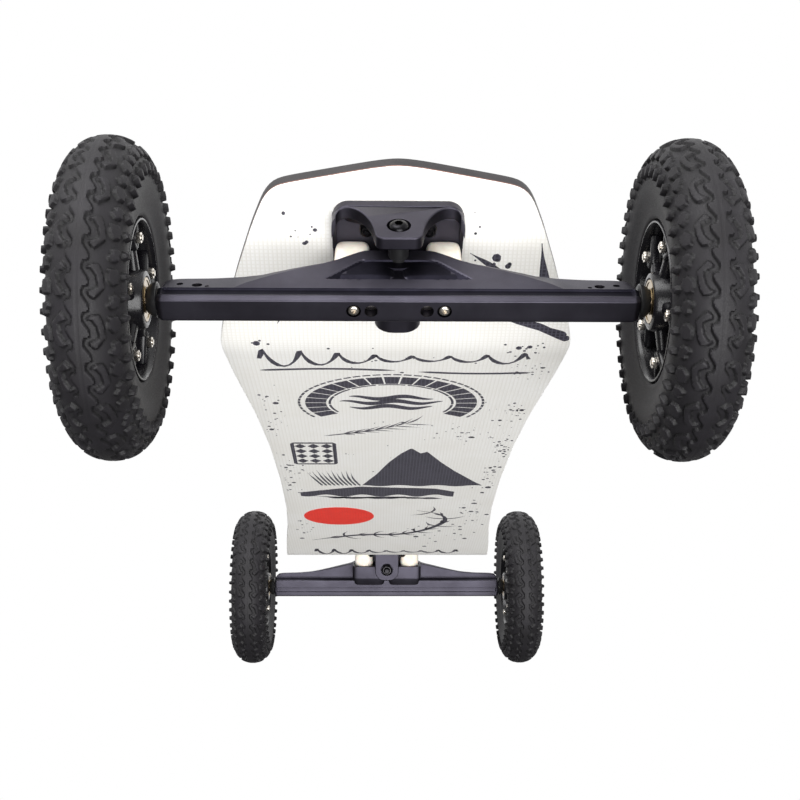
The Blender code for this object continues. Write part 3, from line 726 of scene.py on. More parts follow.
def sprig():
    # a stem with pairs of leaves that grow towards its tip
    stem = [(140, -60), (147, -38), (158, -12), (176, 14)]
    shells = [stroke(stem, 2.2, (0.1, 0.5))]
    for t in np.linspace(0.25, 0.95, 7):
        root = np.array([np.interp(t, (0, 0.33, 0.66, 1), [p[i] for p in stem]) for i in (0, 1)])
        shells += strokes(
            ([root, root + (9, 9), root + (17 * t + 6, 15)], 1.9, (0.3, 0.6)),
            ([root, root + (-1, 11), root + (-3, 22 * t + 4)], 1.7, (0.3, 0.6)),
        )
    return shells


def diamondTile():
    # a square frame round four rows of three diamonds
    corners = [(54, -90), (119, -90), (119, -52), (54, -52), (54, -90)]
    shells = [stroke(side, 3.4, (0.0, 0.0)) for side in zip(corners[:-1], corners[1:])]
    for k in range(12):
        s, y = 64 + k // 3 * 15.2, -83 + k % 3 * 12.0
        start, stop = (s - 6.8, y), (s + 6.8, y)
        shells.append(ribbon([start, (s, y + 5.4), stop], [start, (s, y - 5.4), stop]))
    return shells


def landscape():
    # mountains over a dark shore, with grass at their foot
    mountain = [(-20, -28), (18, -14), (60, -2), (88, 9), (104, 18), (88, 27), (93, 33), (58, 48), (30, 62)]
    shore = [(-48, -92), (-36, -60), (-26, -30), (-30, 10), (-33, 46), (-45, 66)]
    shells = [ridge(-22, mountain + [(-8, 84), (-20, 92)], 2), ridge(-60, shore, 4)]
    for k in range(6):
        y = -66 + k * 19
        rock = [(-66 - k % 2 * 6, y), (-70, y + 12), (-64 - k % 3 * 4, y + 26)]
        shells.append(stroke(rock, 6.5, (0.4, 0.4)))
    shells.append(stroke([(-62, -80), (-70, -40), (-66, 0), (-72, 40)], 5.5, (0.3, 0.3)))
    for k in range(10):
        y = -72 + k * 4.2
        shells.append(stroke([(-22, y + 4), (2, y - 3), (24 + k % 3 * 4, y - 9 + k * 0.5)], 2.2, (0.05, 0.6)))
    return shells


def needleBranch():
    # a long winding branch with a pair of needles at every second point
    branch = [(-262, -90), (-246, -60), (-232, -25), (-236, 10), (-214, 42), (-170, 66), (-136, 58)]
    branch.append((-122, 30))
    shells = [stroke(branch, 6.0, (0.2, 0.3))]
    line = spaced(rounded(branch), 30)
    for k in range(3, 28, 2):
        out = (line[k + 1] - line[k - 1]) / np.linalg.norm(line[k + 1] - line[k - 1])
        reach = 13 + 9 * math.sin(k * 1.7)
        for hand in (-1, 1):
            away = np.array([-out[1], out[0]]) * hand * reach
            needle = [line[k], line[k] + away * 0.6 + out * 3, line[k] + away + out * 12]
            shells.append(stroke(needle, 2.6, (0.1, 0.6)))
    return shells


def longLines():
    # wavy and straight lines fore and aft, blades of grass at the nose and the corner
    return [
        waveLine(325, -104, 102, 16.5, 7.5, 4.6),
        *strokes(
            ([(301, -102), (305, -50), (301, 0)], 3.4, (0.05, 0.1)),
            ([(298, 18), (294, 60), (297, 104)], 3.4, (0.1, 0.05)),
        ),
        waveLine(-324, -92, 90, 15.0, 8.5, 5.0),
        *strokes(
            ([(425, 38), (415, 60), (398, 79)], 3.0, (0.3, 0.1)),
            ([(433, 49), (420, 68), (402, 88)], 4.2, (0.35, 0.1)),
            ([(441, 97), (418, 100), (384, 107)], 7.5, (0.6, 0.05)),
            ([(385, 62), (372, 92), (362, 122)], 5.0, (0.4, 0.05)),
            ([(377, 88), (368, 105), (356, 124)], 6.5, (0.4, 0.05)),
            ([(396, -84), (384, -78), (372, -84)], 4.0, (0.4, 0.4)),
        ),
    ]


# clusters of ink speckle: along, across, how far they spread each way, how many, size
clusters = (
    (450, -62, 10, 10, 9, 2.0), (424, -26, 7, 10, 9, 1.7), (455, 60, 14, 22, 5, 1.2),
    (424, 74, 5, 4, 5, 2.6), (345, 96, 7, 8, 16, 1.6), (300, 105, 12, 8, 26, 0.9),
    (322, -20, 14, 50, 16, 1.0), (350, -98, 2, 4, 4, 2.2), (232, -104, 16, 10, 22, 0.9),
    (170, -106, 16, 8, 34, 1.0), (205, 100, 14, 9, 34, 1.0), (140, 66, 14, 16, 34, 1.0),
    (110, 102, 22, 6, 44, 1.1), (40, -98, 24, 8, 34, 1.1), (-20, -104, 24, 6, 30, 1.2),
    (10, 98, 26, 6, 26, 1.2), (-140, 92, 34, 9, 34, 1.3), (-240, 60, 20, 30, 24, 1.4),
    (-200, -98, 20, 6, 18, 1.2), (-430, 0, 30, 50, 30, 1.6), (120, -20, 50, 40, 26, 0.8),
)


def makeArtwork():
    # the black print, then the red disc: a turned ring from low to high ink
    black = sundial() + sprig() + diamondTile() + landscape() + needleBranch() + longLines()
    for cluster in clusters:
        black += speckles(*cluster)
    makePiece("printed_black", black, "blackInk", "board", "deck", place=bent, flatMap=True)
    sun = turned([(0, 0), (1, 0), (1, 1), (0, 1)], 72)
    sun = sun * (0.0385, 0.0385, ink["high"] - ink["low"]) + (-0.1470, -0.0551, ink["low"])
    makePiece("printed_red", [shell(sun)], "redInk", "board", "deck", place=bent, flatMap=True)
    print("artwork printed,", len(black), "shapes")


makeArtwork()

# tyres, in mm: profiles are (radius, distance from the middle)
tyre = {
    "pitches": 22,
    "perPitch": 32,  # grid steps
    "treadRadius": 100.86,
    "lugHeight": 2.05,
    "slope": 0.4,  # half width of a lug's side
    "turnedBack": 22.3,  # where the other flank's pattern starts, turned end for end
    "tread": (38.0, 52),  # half width, and grid steps over it
    "sidewallSteps": 12,
    "carcass": (
        (98.8, 0.0), (98.4, 5.0), (97.0, 10.0), (93.8, 15.0), (88.9, 19.0), (82.7, 21.4), (77.0, 22.2),
        (70.0, 21.7), (64.0, 20.0), (58.5, 18.5), (54.5, 17.9), (52.2, 17.6), (51.3, 16.6), (51.1, 14.0),
    ),
    "inside": ((51.0, 10.0), (55.0, 11.5), (63.0, 16.5), (77.0, 19.0), (88.0, 15.0), (94.5, 0.0)),
    # lug outlines on one flank, (across from the middle, along the rolling direction)
    "lugs": (
        # arrow block with a hooked tongue
        ((4.9, 4.2), (7.9, 5.2), (10.1, 9.0), (10.9, 14.8), (9.4, 16.2), (7.4, 17.0), (5.6, 18.0),
         (6.4, 19.8), (8.9, 21.9), (14.6, 16.0), (14.2, 10.4), (13.0, 5.0), (11.5, 2.2), (8.4, 1.8)),
        # two many-sided knobs
        ((16.9, 4.2), (16.3, 10.4), (19.6, 13.9), (23.4, 12.6), (24.6, 7.6), (22.0, 3.2)),
        ((18.4, 20.6), (19.0, 22.6), (16.0, 25.6), (19.2, 28.4), (23.4, 27.2), (24.4, 21.6), (21.8, 18.6)),
        # pointed shoulder knobs
        ((26.8, 6.0), (29.6, 3.6), (33.6, 4.4), (35.2, 6.6), (31.8, 8.8), (28.2, 8.8)),
        ((26.8, 20.4), (29.6, 18.0), (33.6, 18.8), (35.2, 21.0), (31.8, 23.2), (28.2, 23.2)),
    ),
    # the middle rib's edge over half a pitch, (along, across)
    "ribEdge": (
        (0.0, 5.6), (0.7, 3.6), (2.2, 2.8), (4.6, 2.6), (6.6, 3.5), (8.6, 4.9), (10.6, 5.9), (12.4, 6.4),
        (13.8, 6.3), (14.41, 5.6),
    ),
}
pitchMm = 2 * math.pi * tyre["treadRadius"] / tyre["pitches"]


def insideness(x, y, outline):
    # signed distance to a polygon, positive inside: nearest edge, signed by crossing count
    px, py = np.asarray(outline, float).T
    nearest = np.full(x.shape, 1e9)
    inside = np.zeros(x.shape, bool)
    for ax, ay, bx, by in zip(px, py, np.roll(px, -1), np.roll(py, -1)):
        dx, dy = bx - ax, by - ay
        t = np.clip(((x - ax) * dx + (y - ay) * dy) / (dx * dx + dy * dy), 0, 1)
        nearest = np.minimum(nearest, np.hypot(x - ax - t * dx, y - ay - t * dy))
        inside ^= ((ay > y) != (by > y)) & (x < dx * (y - ay) / (dy if dy else 1e-9) + ax)
    return np.where(inside, nearest, -nearest)


def treadHeight(across, along):
    # mm above the carcass, and how dark each point lies: a middle rib with hooked edges, then
    # rows of lugs, the left flank being the right one turned end for end; the shade is largest
    # where a blurred height stands over the height itself, at the foot of a lug's side
    x, a = np.meshgrid(across, along, indexing="ij")
    height = np.zeros(x.shape)
    slope = tyre["slope"]
    for flank in (1, -1):
        u = x * flank
        v = (a if flank > 0 else tyre["turnedBack"] - a) % pitchMm
        rib = np.interp(v % (pitchMm / 2), *zip(*tyre["ribEdge"]))
        height = np.where(u >= 0, np.maximum(height, ease(rib - u, -slope, slope)), height)
        for outline in tyre["lugs"]:
            for copy in (-pitchMm, 0.0, pitchMm):
                height = np.maximum(height, ease(insideness(u, v + copy, outline), -slope, slope))
    steps = (-2, -1, 1, 2)
    near = np.stack([np.clip(np.arange(len(across)) + step, 0, len(across) - 1) for step in steps])
    blurred = (sum(np.roll(height, step, 1) for step in steps) + height[near].sum(0)) / 8
    shade = np.clip((blurred - height) * 2.2, 0, 1) + 1.6 * height * (1 - height)
    shade = np.clip(shade, 0, 1) * (1 - ease(np.abs(x), 36.5, 38.5))
    top = np.interp(np.abs(x), (0, 16, 24, 28, 34), (1.0, 1.0, 1.1, 1.5, 1.5)) * tyre["lugHeight"]
    partingLine = 0.35 * np.exp(-((x / 0.45) ** 2))
    bead = 0.5 * np.exp(-(((np.abs(x) - 58.5) / 0.9) ** 2))
    return height * top - partingLine + bead, shade


def tyreGrid():
    # the carcass profile raised along its normals by the tread, then closed through the inside;
    # rows run across the tyre, columns round it
    half = rounded(tyre["carcass"])
    profile = np.vstack([half[::-1] * (1, -1), half[1:]])
    run = distances(profile)
    run -= run[-1] / 2
    treadEdge, treadSteps = tyre["tread"]
    fine = np.linspace(0.0, treadEdge, treadSteps)
    side = np.concatenate([fine, np.linspace(treadEdge + 1.6, run[-1], tyre["sidewallSteps"])])
    across = np.concatenate([-side[:0:-1], side])
    along = np.arange(tyre["perPitch"]) * pitchMm / tyre["perPitch"]
    flat = np.stack([np.interp(across, run, column) for column in profile.T], 1)
    normal = sideways(flat)
    normal *= np.sign(normal[len(normal) // 2, 0])
    height, shade = (np.tile(part, (1, tyre["pitches"])) for part in treadHeight(across, along))
    outer = flat[:, None] + normal[:, None] * height[:, :, None]
    inner = np.array(tyre["inside"])
    inner = np.vstack([inner, inner[-2::-1] * (1, -1)])
    inner = np.broadcast_to(inner[:, None], (len(inner), height.shape[1], 2))
    radius, out = np.moveaxis(np.concatenate([outer, inner]), 2, 0) / 1000
    radius = np.minimum(radius, board["axleHeight"])  # no lug reaches below the floor
    shade = np.concatenate([shade, np.zeros(inner.shape[:2])])
    angle = angles(height.shape[1])
    return np.stack([radius * np.cos(angle), radius * np.sin(angle), out], -1), shade


# wheels, in mm: two moulded halves, bolts, valve, bearings; profiles are (radius, from the middle)
rim = {
    "spokes": 5,
    "barrel": (
        (44.6, 0.2), (49.8, 0.2), (49.8, 15.2), (50.6, 15.5), (50.8, 16.2), (50.8, 17.0), (50.4, 17.8),
        (49.4, 17.9), (48.6, 17.0), (48.0, 14.5), (47.2, 9.0), (45.6, 5.2), (44.6, 3.4),
    ),
    "boss": (
        (10.6, 0.2), (20.6, 0.2), (22.6, 1.4), (22.8, 4.0), (20.8, 6.6), (19.3, 10.0), (18.6, 17.6),
        (17.8, 19.4), (16.6, 19.9), (15.0, 19.9), (14.35, 19.3), (14.35, 11.8), (10.6, 11.8),
    ),
    "stem": (18.5, 34.0),  # where a spoke starts and forks
    "lift": (11.6, 10.4),  # the spokes' height at the hub and at the rim
    "fork": 0.20,  # half angle between the two arms of a spoke
    "boltRadius": 38.5,  # of the circle the rim bolts stand on
    "boltBoss": ((0, 0.2), (4.2, 0.2), (4.2, 14.6), (3.8, 15.2), (0, 15.2)),
    "bolt": (
        (0, 14.8), (3.1, 14.8), (3.3, 15.1), (3.3, 17.2), (2.9, 17.6), (9, 17.6, 1.5), (9, 15.9, 1.5),
        (0, 15.9),
    ),
    "nut": (
        (0, 14.8), (3.7, 14.8, 3.4), (3.9, 15.2, 3.4), (3.9, 17.4, 3.4), (3.4, 17.8, 3.4), (1.9, 17.8),
        (1.9, 18.6), (0, 18.6),
    ),
    "bearing": (
        (6.4, 12.3), (14.0, 12.3), (14.0, 19.4), (13.7, 19.75), (12.3, 19.75), (12.0, 19.3), (8.6, 19.3),
        (8.3, 19.75), (6.8, 19.75), (6.4, 19.4),
    ),
    "valve": (
        (0, 0), (2.4, 0), (2.4, 7), (3.2, 7.2), (3.2, 9), (2.6, 9.2), (2.6, 10), (3.1, 10.2), (3.1, 17),
        (2.6, 18), (0, 18),
    ),
    "valveLean": math.radians(58),
}
spokeTurns = angles(rim["spokes"])


def spokeShells(hand):
    # each spoke is a stem that forks into two bowed arms, all rounded bars, with a boss for its bolt
    shells = []
    t = np.linspace(0, 1, 9)[:, None]
    start, fork = rim["stem"]
    lift = hand * (rim["lift"][0] + (rim["lift"][1] - rim["lift"][0]) * t)
    for turn in spokeTurns:
        out = np.array([math.cos(turn), math.sin(turn)])
        side = np.array([-out[1], out[0]])
        stem = np.hstack([out * (start + (fork - start) * t), lift]) / 1000
        shells.append(carried(stem, 0.0078 - 0.0012 * t[:, 0], 0.0082 - 0.0012 * t[:, 0]))
        for lean in (-1, 1):
            radius = 32.0 + 15.6 * t
            bow = lean * (1.2 + 46.8 * math.sin(rim["fork"]) * t**0.8)
            arm = np.hstack([out * np.sqrt(radius**2 - bow**2) + side * bow, lift + hand * 0.2]) / 1000
            shells.append(carried(arm, 0.0050, 0.0074 - 0.0006 * t[:, 0]))
        shells.append(boltShell("boltBoss", turn, hand, 20))
    return shells


def boltShell(kind, turn, hand, count=24):
    # a turned part on the bolt circle
    radius = rim["boltRadius"] / 1000
    spot = (radius * math.cos(turn), radius * math.sin(turn), 0)
    return shell(standing(turned(mm(rim[kind], hand), count), spot, "z"))


def makeWheel(end, side, name, hand, turn):
    # tyre, two halves with their bolts or nuts and bearings, and the valve between two spokes
    title = f"{end}_{name}"
    options = {"body": title + "_wheel", "place": partial(inWheel, side=side, hand=hand, turn=turn)}
    grid, shade = tyreGrid()
    tread = {"slot": "tyre", "nodes": [title + "_tyre"], "clean": False, "smooth": 50}
    rubber = makePiece(title + "_knobbly_tyre", [shell(grid, True)], "tyreRubber", **tread, **options)
    # the painted shade of each lug's sides and foot, stored on the tyre's points
    rubber.data.attributes.new("paintedShade", "FLOAT", "POINT").data.foreach_set("value", shade.ravel())
    for half, way, kind in (("outer", 1, "bolt"), ("inner", -1, "nut")):
        shells = [ring(rim["barrel"], 120, way), ring(rim["boss"], 72, way), *spokeShells(way)]
        bolts = [boltShell(kind, spoke, way) for spoke in spokeTurns]
        bearing = [ring(rim["bearing"], 72, way)]
        for piece, made, finish, slot, nodes in (
            (f"wheel_half_{half}", shells, "glossyNylon", "rim", [f"{title}_rim_{half}"]),
            (f"rim_{kind}s", bolts, "zincPlatedSteel", "steel", ()),
            (f"ball_bearing_{half}", bearing, "groundBearingSteel", "bearing", [f"{title}_bearing_{half}"]),
        ):
            makePiece(f"{title}_{piece}", made, finish, slot=slot, nodes=nodes, **options)
    c, s = math.cos(rim["valveLean"]), math.sin(rim["valveLean"])
    stem = framed(turned(mm(rim["valve"]), 24), (0.0445, 0, 0.0045), (s, 0, c), (0, 1, 0), (-c, 0, s))
    c, s = math.cos(math.pi / 5), math.sin(math.pi / 5)
    stem = framed(stem, (0, 0, 0), (c, s, 0), (-s, c, 0), (0, 0, 1))
    makePiece(title + "_valve_stem", [shell(stem)], "blackAcetal", slot="bush", **options)


for end, side in ends.items():
    for name, hand in sides.items():
        turn = 0.35 + 1.1 * side + 0.45 * hand  # no two wheels stand alike
        makeWheel(end, side, name, hand, turn)
    print(end, "wheels made")

# trucks, in metres where not said otherwise; "x" is the distance from the middle
hanger = {
    "front": 0.0943,
    "back": 0.0773,
    "bottom": -0.0798,
    "top": -0.0568,
    "round": 0.0016,  # the bar's rounded edges
    "plate": 0.0080,  # thickness of the rising plate
    "bead": (-0.0772, -0.0738),  # the bright rounded strip over the bottom edge
    "groove": (-0.0735, -0.0672),
    "grooveDepth": 0.0014,
    # mm: x from and to which the groove runs out, and the ends draw in to a nose
    "grooveEnd": (145.5, 148),
    "nose": (146.5, 150.5),
    "screwX": 0.0282,
    "holeX": 0.0174,
    # small holes in the face near both ends: x, height, radius, depth
    "faceHoles": (
        (0.1372, -0.0605, 0.0022, 0.006), (0.1262, -0.0625, 0.0033, 0.004), (0.1198, -0.0645, 0.0014, 0.004),
    ),
    # mm: x, height of the plate's top edge
    "rise": (
        (0, -23.5), (20.5, -23.5), (24, -24.6), (40, -34.0), (48, -37.2), (75, -43.4), (100, -48.4),
        (118, -50.0), (136, -50.4), (142, -50.8), (145.5, -52.4), (148.5, -55.6), (150, -58.5),
    ),
    # mm: x, height of the sloping band under that edge
    "band": (
        (0, 1.0), (30, 1.2), (42, 1.8), (56, 3.6), (65, 5.0), (80, 8.5), (96, 14.0), (104, 19.0), (150, 20.0),
    ),
    # mm: the pocket's depth, its floor's and top's height, and its sloping ends: x where they reach
    # the floor line, then how far they run up and in
    "pocket": {"depth": 2.8, "low": -57.0, "high": -35.7, "endX": 47.5, "up": 21.3, "inward": 22.5},
    # mm: the groove's section over the face and over the back, (height, share of the depth)
    "faceGroove": (
        (-73.8, 0.3), (-73.3, 0.7), (-72.8, 1.0), (-70.4, 1.0), (-67.9, 1.0), (-67.4, 0.6), (-67.2, 0.0),
    ),
    "backGroove": (
        (-65.2, 0.0), (-67.2, 0.0), (-67.7, 0.9), (-68.2, 1.0), (-72.5, 1.0), (-73.0, 0.9), (-73.5, 0.0),
        (-77.2, 0.0),
    ),
    "barrel": ((6.7, 66.9), (12.4, 66.9), (13.0, 67.5), (13.0, 90.6), (12.4, 91.1), (6.7, 91.1)),
    "web": ((-0.0105, -0.0435), (0.0105, -0.0435), (0.0085, -0.0300), (-0.0085, -0.0300)),
}
# a shock block's cup, in mm: (height, inset) of its square outside, (height, radius) of its bore
cup = {
    "middle": (23.0, 78.65),
    "half": (22.2, 14.5),
    "power": 2 / 7.0,
    "outside": ((-60.5, 4.2), (-59.3, 3.0), (-51.5, 0.4), (-49.5, 0), (-35.0, 0), (-34.3, 0.3), (-34.0, 1.0)),
    "bore": ((-34.0, 13.3), (-34.6, 12.7), (-43.8, 12.7), (-44.0, 0)),
}
# a shock block, in mm: heights and half sizes, and where its square turns round
block = {
    "x": 30.0,
    "y": 79.5,
    "heights": (
        -7.35, -7.35, -7.7, -8.6, -10.5, -13, -16, -20, -24, -27, -29, -31, -33, -35, -39, -42.8, -43.5,
        -43.65, -43.65,
    ),
    "half": (
        0, 10.2, 10.7, 11.1, 11.4, 11.7, 11.8, 11.8, 11.9, 12.0, 12.1, 12.2, 12.2, 12.1, 12.1, 12.1, 11.8,
        11.3, 0,
    ),
    "turnsRound": (-33.5, -28.0),
    "bends": (-8.0, -34.0),  # two heights on the block's axis, placed in the board's frame and not used further
}


def pocketDepth(x, z):
    # mm cut into the plate's face: a flat floor between sloping ends, inside a trapezoid
    pocket = hanger["pocket"]
    x, z = np.abs(x), np.asarray(z)
    slant = (pocket["endX"] - x) * pocket["up"] - (z - pocket["low"]) * pocket["inward"]
    slopes = np.clip(slant / math.hypot(pocket["up"], pocket["inward"]) / 5.5, 0, 1)
    return pocket["depth"] * slopes * ease(pocket["high"] - z, 0, 0.6) * ease(z - pocket["low"], 0, 0.6)


def hangerShell():
    # the bar and its rising plate as one loft: rows run along the bar, columns round the section
    x = np.concatenate([np.linspace(0, 52, 66), np.linspace(53.5, 143, 50), np.linspace(144, 150, 14)])
    xs = np.concatenate([-x[:0:-1], x]) / 1000
    x = np.abs(xs) * 1000
    front, back, bottom, r = (hanger[k] for k in ("front", "back", "bottom", "round"))
    rise = np.interp(x, *zip(*hanger["rise"])) / 1000
    rise = np.convolve(np.pad(rise, 2, mode="edge"), np.ones(5) / 5, "valid")
    # the smoothed edge stays under the plate's flat crest
    rise = np.minimum(rise, np.interp(x, (0, 21.5, 22.5, 150), (-23.5, -23.5, -20, -20)) / 1000)
    grooveTop = hanger["groove"][1]
    faceTop = np.maximum(rise - np.interp(x, *zip(*hanger["band"])) / 1000, grooveTop + 0.0002)
    slope = rise - faceTop
    setBack = np.minimum(slope * 0.42, 0.0046) + 0.0004
    cut = hanger["grooveDepth"] * (1 - ease(x, *hanger["grooveEnd"]))
    columns = []

    def addColumn(y, z):
        columns.append((np.broadcast_to(y, xs.shape), np.broadcast_to(z, xs.shape)))

    for t in np.linspace(0, 1, 6):  # bottom face, back to front
        addColumn(back + r + (front - back - 2 * r) * t, bottom)
    for a in np.linspace(0.2, math.pi / 2, 4):  # rounded edge
        addColumn(front - r + (r - 0.0006) * math.sin(a), bottom + r * (1 - math.cos(a)))
    middle, half = sum(hanger["bead"]) / 2, (hanger["bead"][1] - hanger["bead"][0]) / 2
    for a in np.linspace(-math.pi / 2, math.pi / 2, 9)[1:-1]:
        addColumn(front - 0.0006 + 0.0009 * math.cos(a), middle + half * math.sin(a))
    for z, share in hanger["faceGroove"]:
        addColumn(front - cut * share, z / 1000)
    for t in np.linspace(0, 1, 44)[1:]:  # face up to the sloping band, with the pocket sunk into it
        z = grooveTop + (faceTop - grooveTop) * t
        addColumn(front - pocketDepth(x, z * 1000) / 1000, z)
    for t in np.linspace(0, 1, 6)[1:]:
        addColumn(front - setBack * t, faceTop + slope * t)
    for a in np.linspace(0, math.pi / 2, 4)[1:]:  # over the top of the plate and down its back
        addColumn(front - setBack - 0.001 * math.sin(a), rise)
    plateBack = front - np.maximum(hanger["plate"], setBack + 0.0022)
    addColumn(plateBack + 0.0008, rise)
    addColumn(plateBack, rise - 0.0007)
    barTop = np.minimum(hanger["top"], rise - 0.0012)
    for t in np.linspace(0, 1, 6)[1:]:
        addColumn(plateBack, rise - 0.0007 + (barTop - rise + 0.0007) * t)
    addColumn(back + r, barTop)
    for a in np.linspace(0, math.pi / 2, 4)[1:]:  # rounded back edge, then a groove in the back
        addColumn(back + r - r * math.sin(a), barTop - r * (1 - math.cos(a)))
    for z, share in hanger["backGroove"]:
        addColumn(back + cut * share, np.minimum(z / 1000, barTop - r))
    for a in np.linspace(math.pi / 2, 0, 4):
        addColumn(back + r - r * math.sin(a), bottom + r * (1 - math.cos(a)))
    y, z = (np.stack(parts, 1) for parts in zip(*columns))
    # the ends draw in to a round nose about the axle
    middleY, middleZ = board["axleY"], board["axleZ"]
    pull = 0.62 + 0.38 * np.sqrt(1 - ease(x, *hanger["nose"]))[:, None]
    y = middleY + (y - middleY) * (1 - (1 - pull) * 0.5)
    z = middleZ + (z - middleZ) * np.where(z > middleZ, pull, 1 - (1 - pull) * 0.6)
    return shell(capped(np.stack([np.broadcast_to(xs[:, None], y.shape), y, z], -1)))


def cupShell(hand):
    # a cup for a shock block: a superellipse outside, a round bore inside, one closed surface
    turn = angles(96)
    outside = np.stack(squared(turn, cup["power"]), 1)
    inside = np.stack([np.cos(turn), np.sin(turn)], 1)
    centre = (block["x"], block["y"])
    rows = [(np.full_like(inside, centre), cup["outside"][0][0])]
    rows += [(outside * (np.array(cup["half"]) - inset) + cup["middle"], z) for z, inset in cup["outside"]]
    rows += [(inside * radius + centre, z) for z, radius in cup["bore"]]
    grid = np.stack([np.column_stack([flat, np.full(len(turn), z)]) for flat, z in rows])
    return shell(grid / 1000 * (hand, 1, 1))


def hangerCutters():
    # seats and holes in the underside, small holes near both ends of the face
    shells = []
    bottom, y = hanger["bottom"], board["axleY"]
    for hand in (-1, 1):
        shells.append(rod(0.0046, -0.09, bottom + 0.0042, (hand * hanger["screwX"], y, 0), "z"))
        shells.append(rod(0.0042, -0.09, bottom + 0.0110, (hand * hanger["holeX"], y, 0), "z"))
        for x, z, radius, depth in hanger["faceHoles"]:
            shells.append(rod(radius, hanger["front"] - 0.0035 - depth, 0.12, (hand * x, 0, z), "y", 20))
    return shells


def shadeRecess(made, side):
    # faces of the pocket, the groove and the holes take the painted shade, a nearly black copy of the
    # anodising
    count = len(made.data.polygons)
    centres = np.empty(count * 3)
    made.data.polygons.foreach_get("center", centres)
    centres = centres.reshape(-1, 3)
    dx, dz = side * centres[:, 0] - bendX, centres[:, 2] - deckHeight
    x, y, z = -side * centres[:, 1], dx * tipCos + dz * tipSin, -dx * tipSin + dz * tipCos
    front, bottom = hanger["front"], hanger["bottom"]
    low, high = hanger["groove"]
    recess = (pocketDepth(x * 1000, z * 1000) > 0.4) & (y > front - 0.0034) & (y < front - 0.0003)
    recess |= (z > low) & (z < high) & (y > front - 0.003) & (y < front - 0.0002)
    under = (z > bottom + 0.0001) & (z < bottom + 0.012) & (np.abs(y - board["axleY"]) < 0.0048)
    recess |= under & (np.abs(x) < 0.034) & (np.abs(x) > 0.012)
    made.data.polygons.foreach_set("material_index", recess.astype(np.int32))


def makeHanger(end, side):
    # the bar and plate less its holes, then the cups, the kingpin barrel and the web between them
    place = partial(inTruck, side=side)
    made = newObject(end + "_hanger_arm_casting", meshOf("hanger", [hangerShell()], place))
    combine(made, meshOf("cutter", hangerCutters(), place))
    barrel = shell(standing(turned(mm(hanger["barrel"]), 64), (0, 0, board["kingpinZ"]), "y"), True)
    web = stood(slab(rounded(hanger["web"], 2, closed=True), 0.0680, 0.0930, 0.0008))
    bm = bmesh.new()
    bm.from_mesh(made.data)
    bm.from_mesh(meshOf("cups", [cupShell(1), cupShell(-1), barrel], place))
    bm.from_mesh(prismMesh("web", web, place))
    bm.to_mesh(made.data)
    bm.free()
    # the second finish paints shade into the pocket, the groove and the holes
    dress(made, "blackAnodisedAluminium", "paintedRecessShade")
    shadeRecess(made, side)
    finishPiece(made, end + "_hanger_arm", [end + "_hanger"], 32, True)


# a truck's base plate, in metres: half width, reach along the tip, heights down from the deck
plate = {
    "half": 0.0435,
    "near": 0.0380,
    "far": 0.1175,
    "corner": 0.0110,
    "heights": (-0.0070, -0.0003),
    "outerWall": 0.1085,  # from here to the far edge
    "wallLeg": -0.0170,
    "legWidth": 0.0028,
    "arch": (0.0357, -0.0090),  # half width and height of the opening
    "knuckle": (0.0152, -0.0460, 0.0058),  # half width, height and corner of its rounded foot
    "innerWall": (0.0430, 0.0540),
    "innerFoot": 0.0120,  # radius of the inner wall's round foot
    "sideLeg": (
        (0.084, -0.0050), (0.084, -0.0066), (0.092, -0.0086), (0.101, -0.0130), (0.1055, -0.0166),
        (0.1075, -0.0166), (0.1075, -0.0050),
    ),
    # along the kingpin: radius, from, to
    "bores": ((0.0043, 0.03, 0.13), (0.0078, 0.1128, 0.13), (0.0084, 0.03, 0.0467)),
}


def wallOutline():
    # the outer kingpin wall, half mirrored: side leg, arched opening, rounded knuckle
    half, leg, width = plate["half"], plate["wallLeg"], plate["legWidth"]
    archX, archZ = plate["arch"]
    footX, footZ, corner = plate["knuckle"]
    small = half - width - archX
    return mirrored(np.vstack([
        [(half, -0.0004), (half, leg), (archX + small, leg)],
        arc((archX, archZ - small), small, 0, 90, 10),
        arc((archX, footZ), (archX - footX, archZ - footZ), 90, 165, 22)[1:],
        arc((footX - corner, footZ + corner), corner, -5, -90, 10),
    ]))


def makeBasePlate(end, side):
    # plate, outer and inner kingpin wall and two side legs, joined, then bored
    place = partial(inTruck, side=side)
    half, near, far, corner = (plate[k] for k in ("half", "near", "far", "corner"))
    reach, low, _ = plate["knuckle"]
    plan = mirrored(np.vstack([
        arc((half - 0.0034, near + 0.003), 0.003, -90, 0, 6),
        arc((half - corner, far - corner), corner - 0.0004, 0, 90, 16),
    ]))
    name = end + "_base_plate_casting"
    made = newObject(name, prismMesh(name, slab(plan, *plate["heights"], 0.0007), place))
    outer = stood(slab(wallOutline(), plate["outerWall"], far, 0.0011))
    # the wall follows the plate's rounded corners
    turnIn = np.clip(np.abs(outer[..., 0]) - (half - corner), 0, corner)
    outer[..., 1] += np.sqrt(corner**2 - turnIn**2) - corner
    foot = plate["innerFoot"]
    inner = np.vstack([[(reach, -0.0030)], arc((reach - foot, low + foot), foot, 0, -90, 14)])
    inner = stood(slab(mirrored(inner), *plate["innerWall"], 0.0010))
    leg = slab(np.array(plate["sideLeg"]), 0, 0.0028, 0.0004)
    leg = np.stack([half - 0.0030 + leg[..., 2], leg[..., 0], leg[..., 1]], -1)
    legs = leg * (-1, 1, 1), leg
    for rows in (outer, inner, *legs):
        combine(made, prismMesh("wall", rows, place), "UNION")
    cutters = []
    for (radius, start, stop), count in zip(plate["bores"], (32, 48, 48)):
        cutters.append(rod(radius, start, stop, (0, 0, board["kingpinZ"]), "y", count))
    for spot in boltSpots:
        cutters.append(rod(0.0028, -0.02, 0.01, (*spot, 0), "z", 20))
    combine(made, meshOf("cutter", cutters, place))
    made.data.materials.clear()
    dress(made, "blackAnodisedAluminium")
    finishPiece(made, "board", [end + "_base_plate"], 32, True)


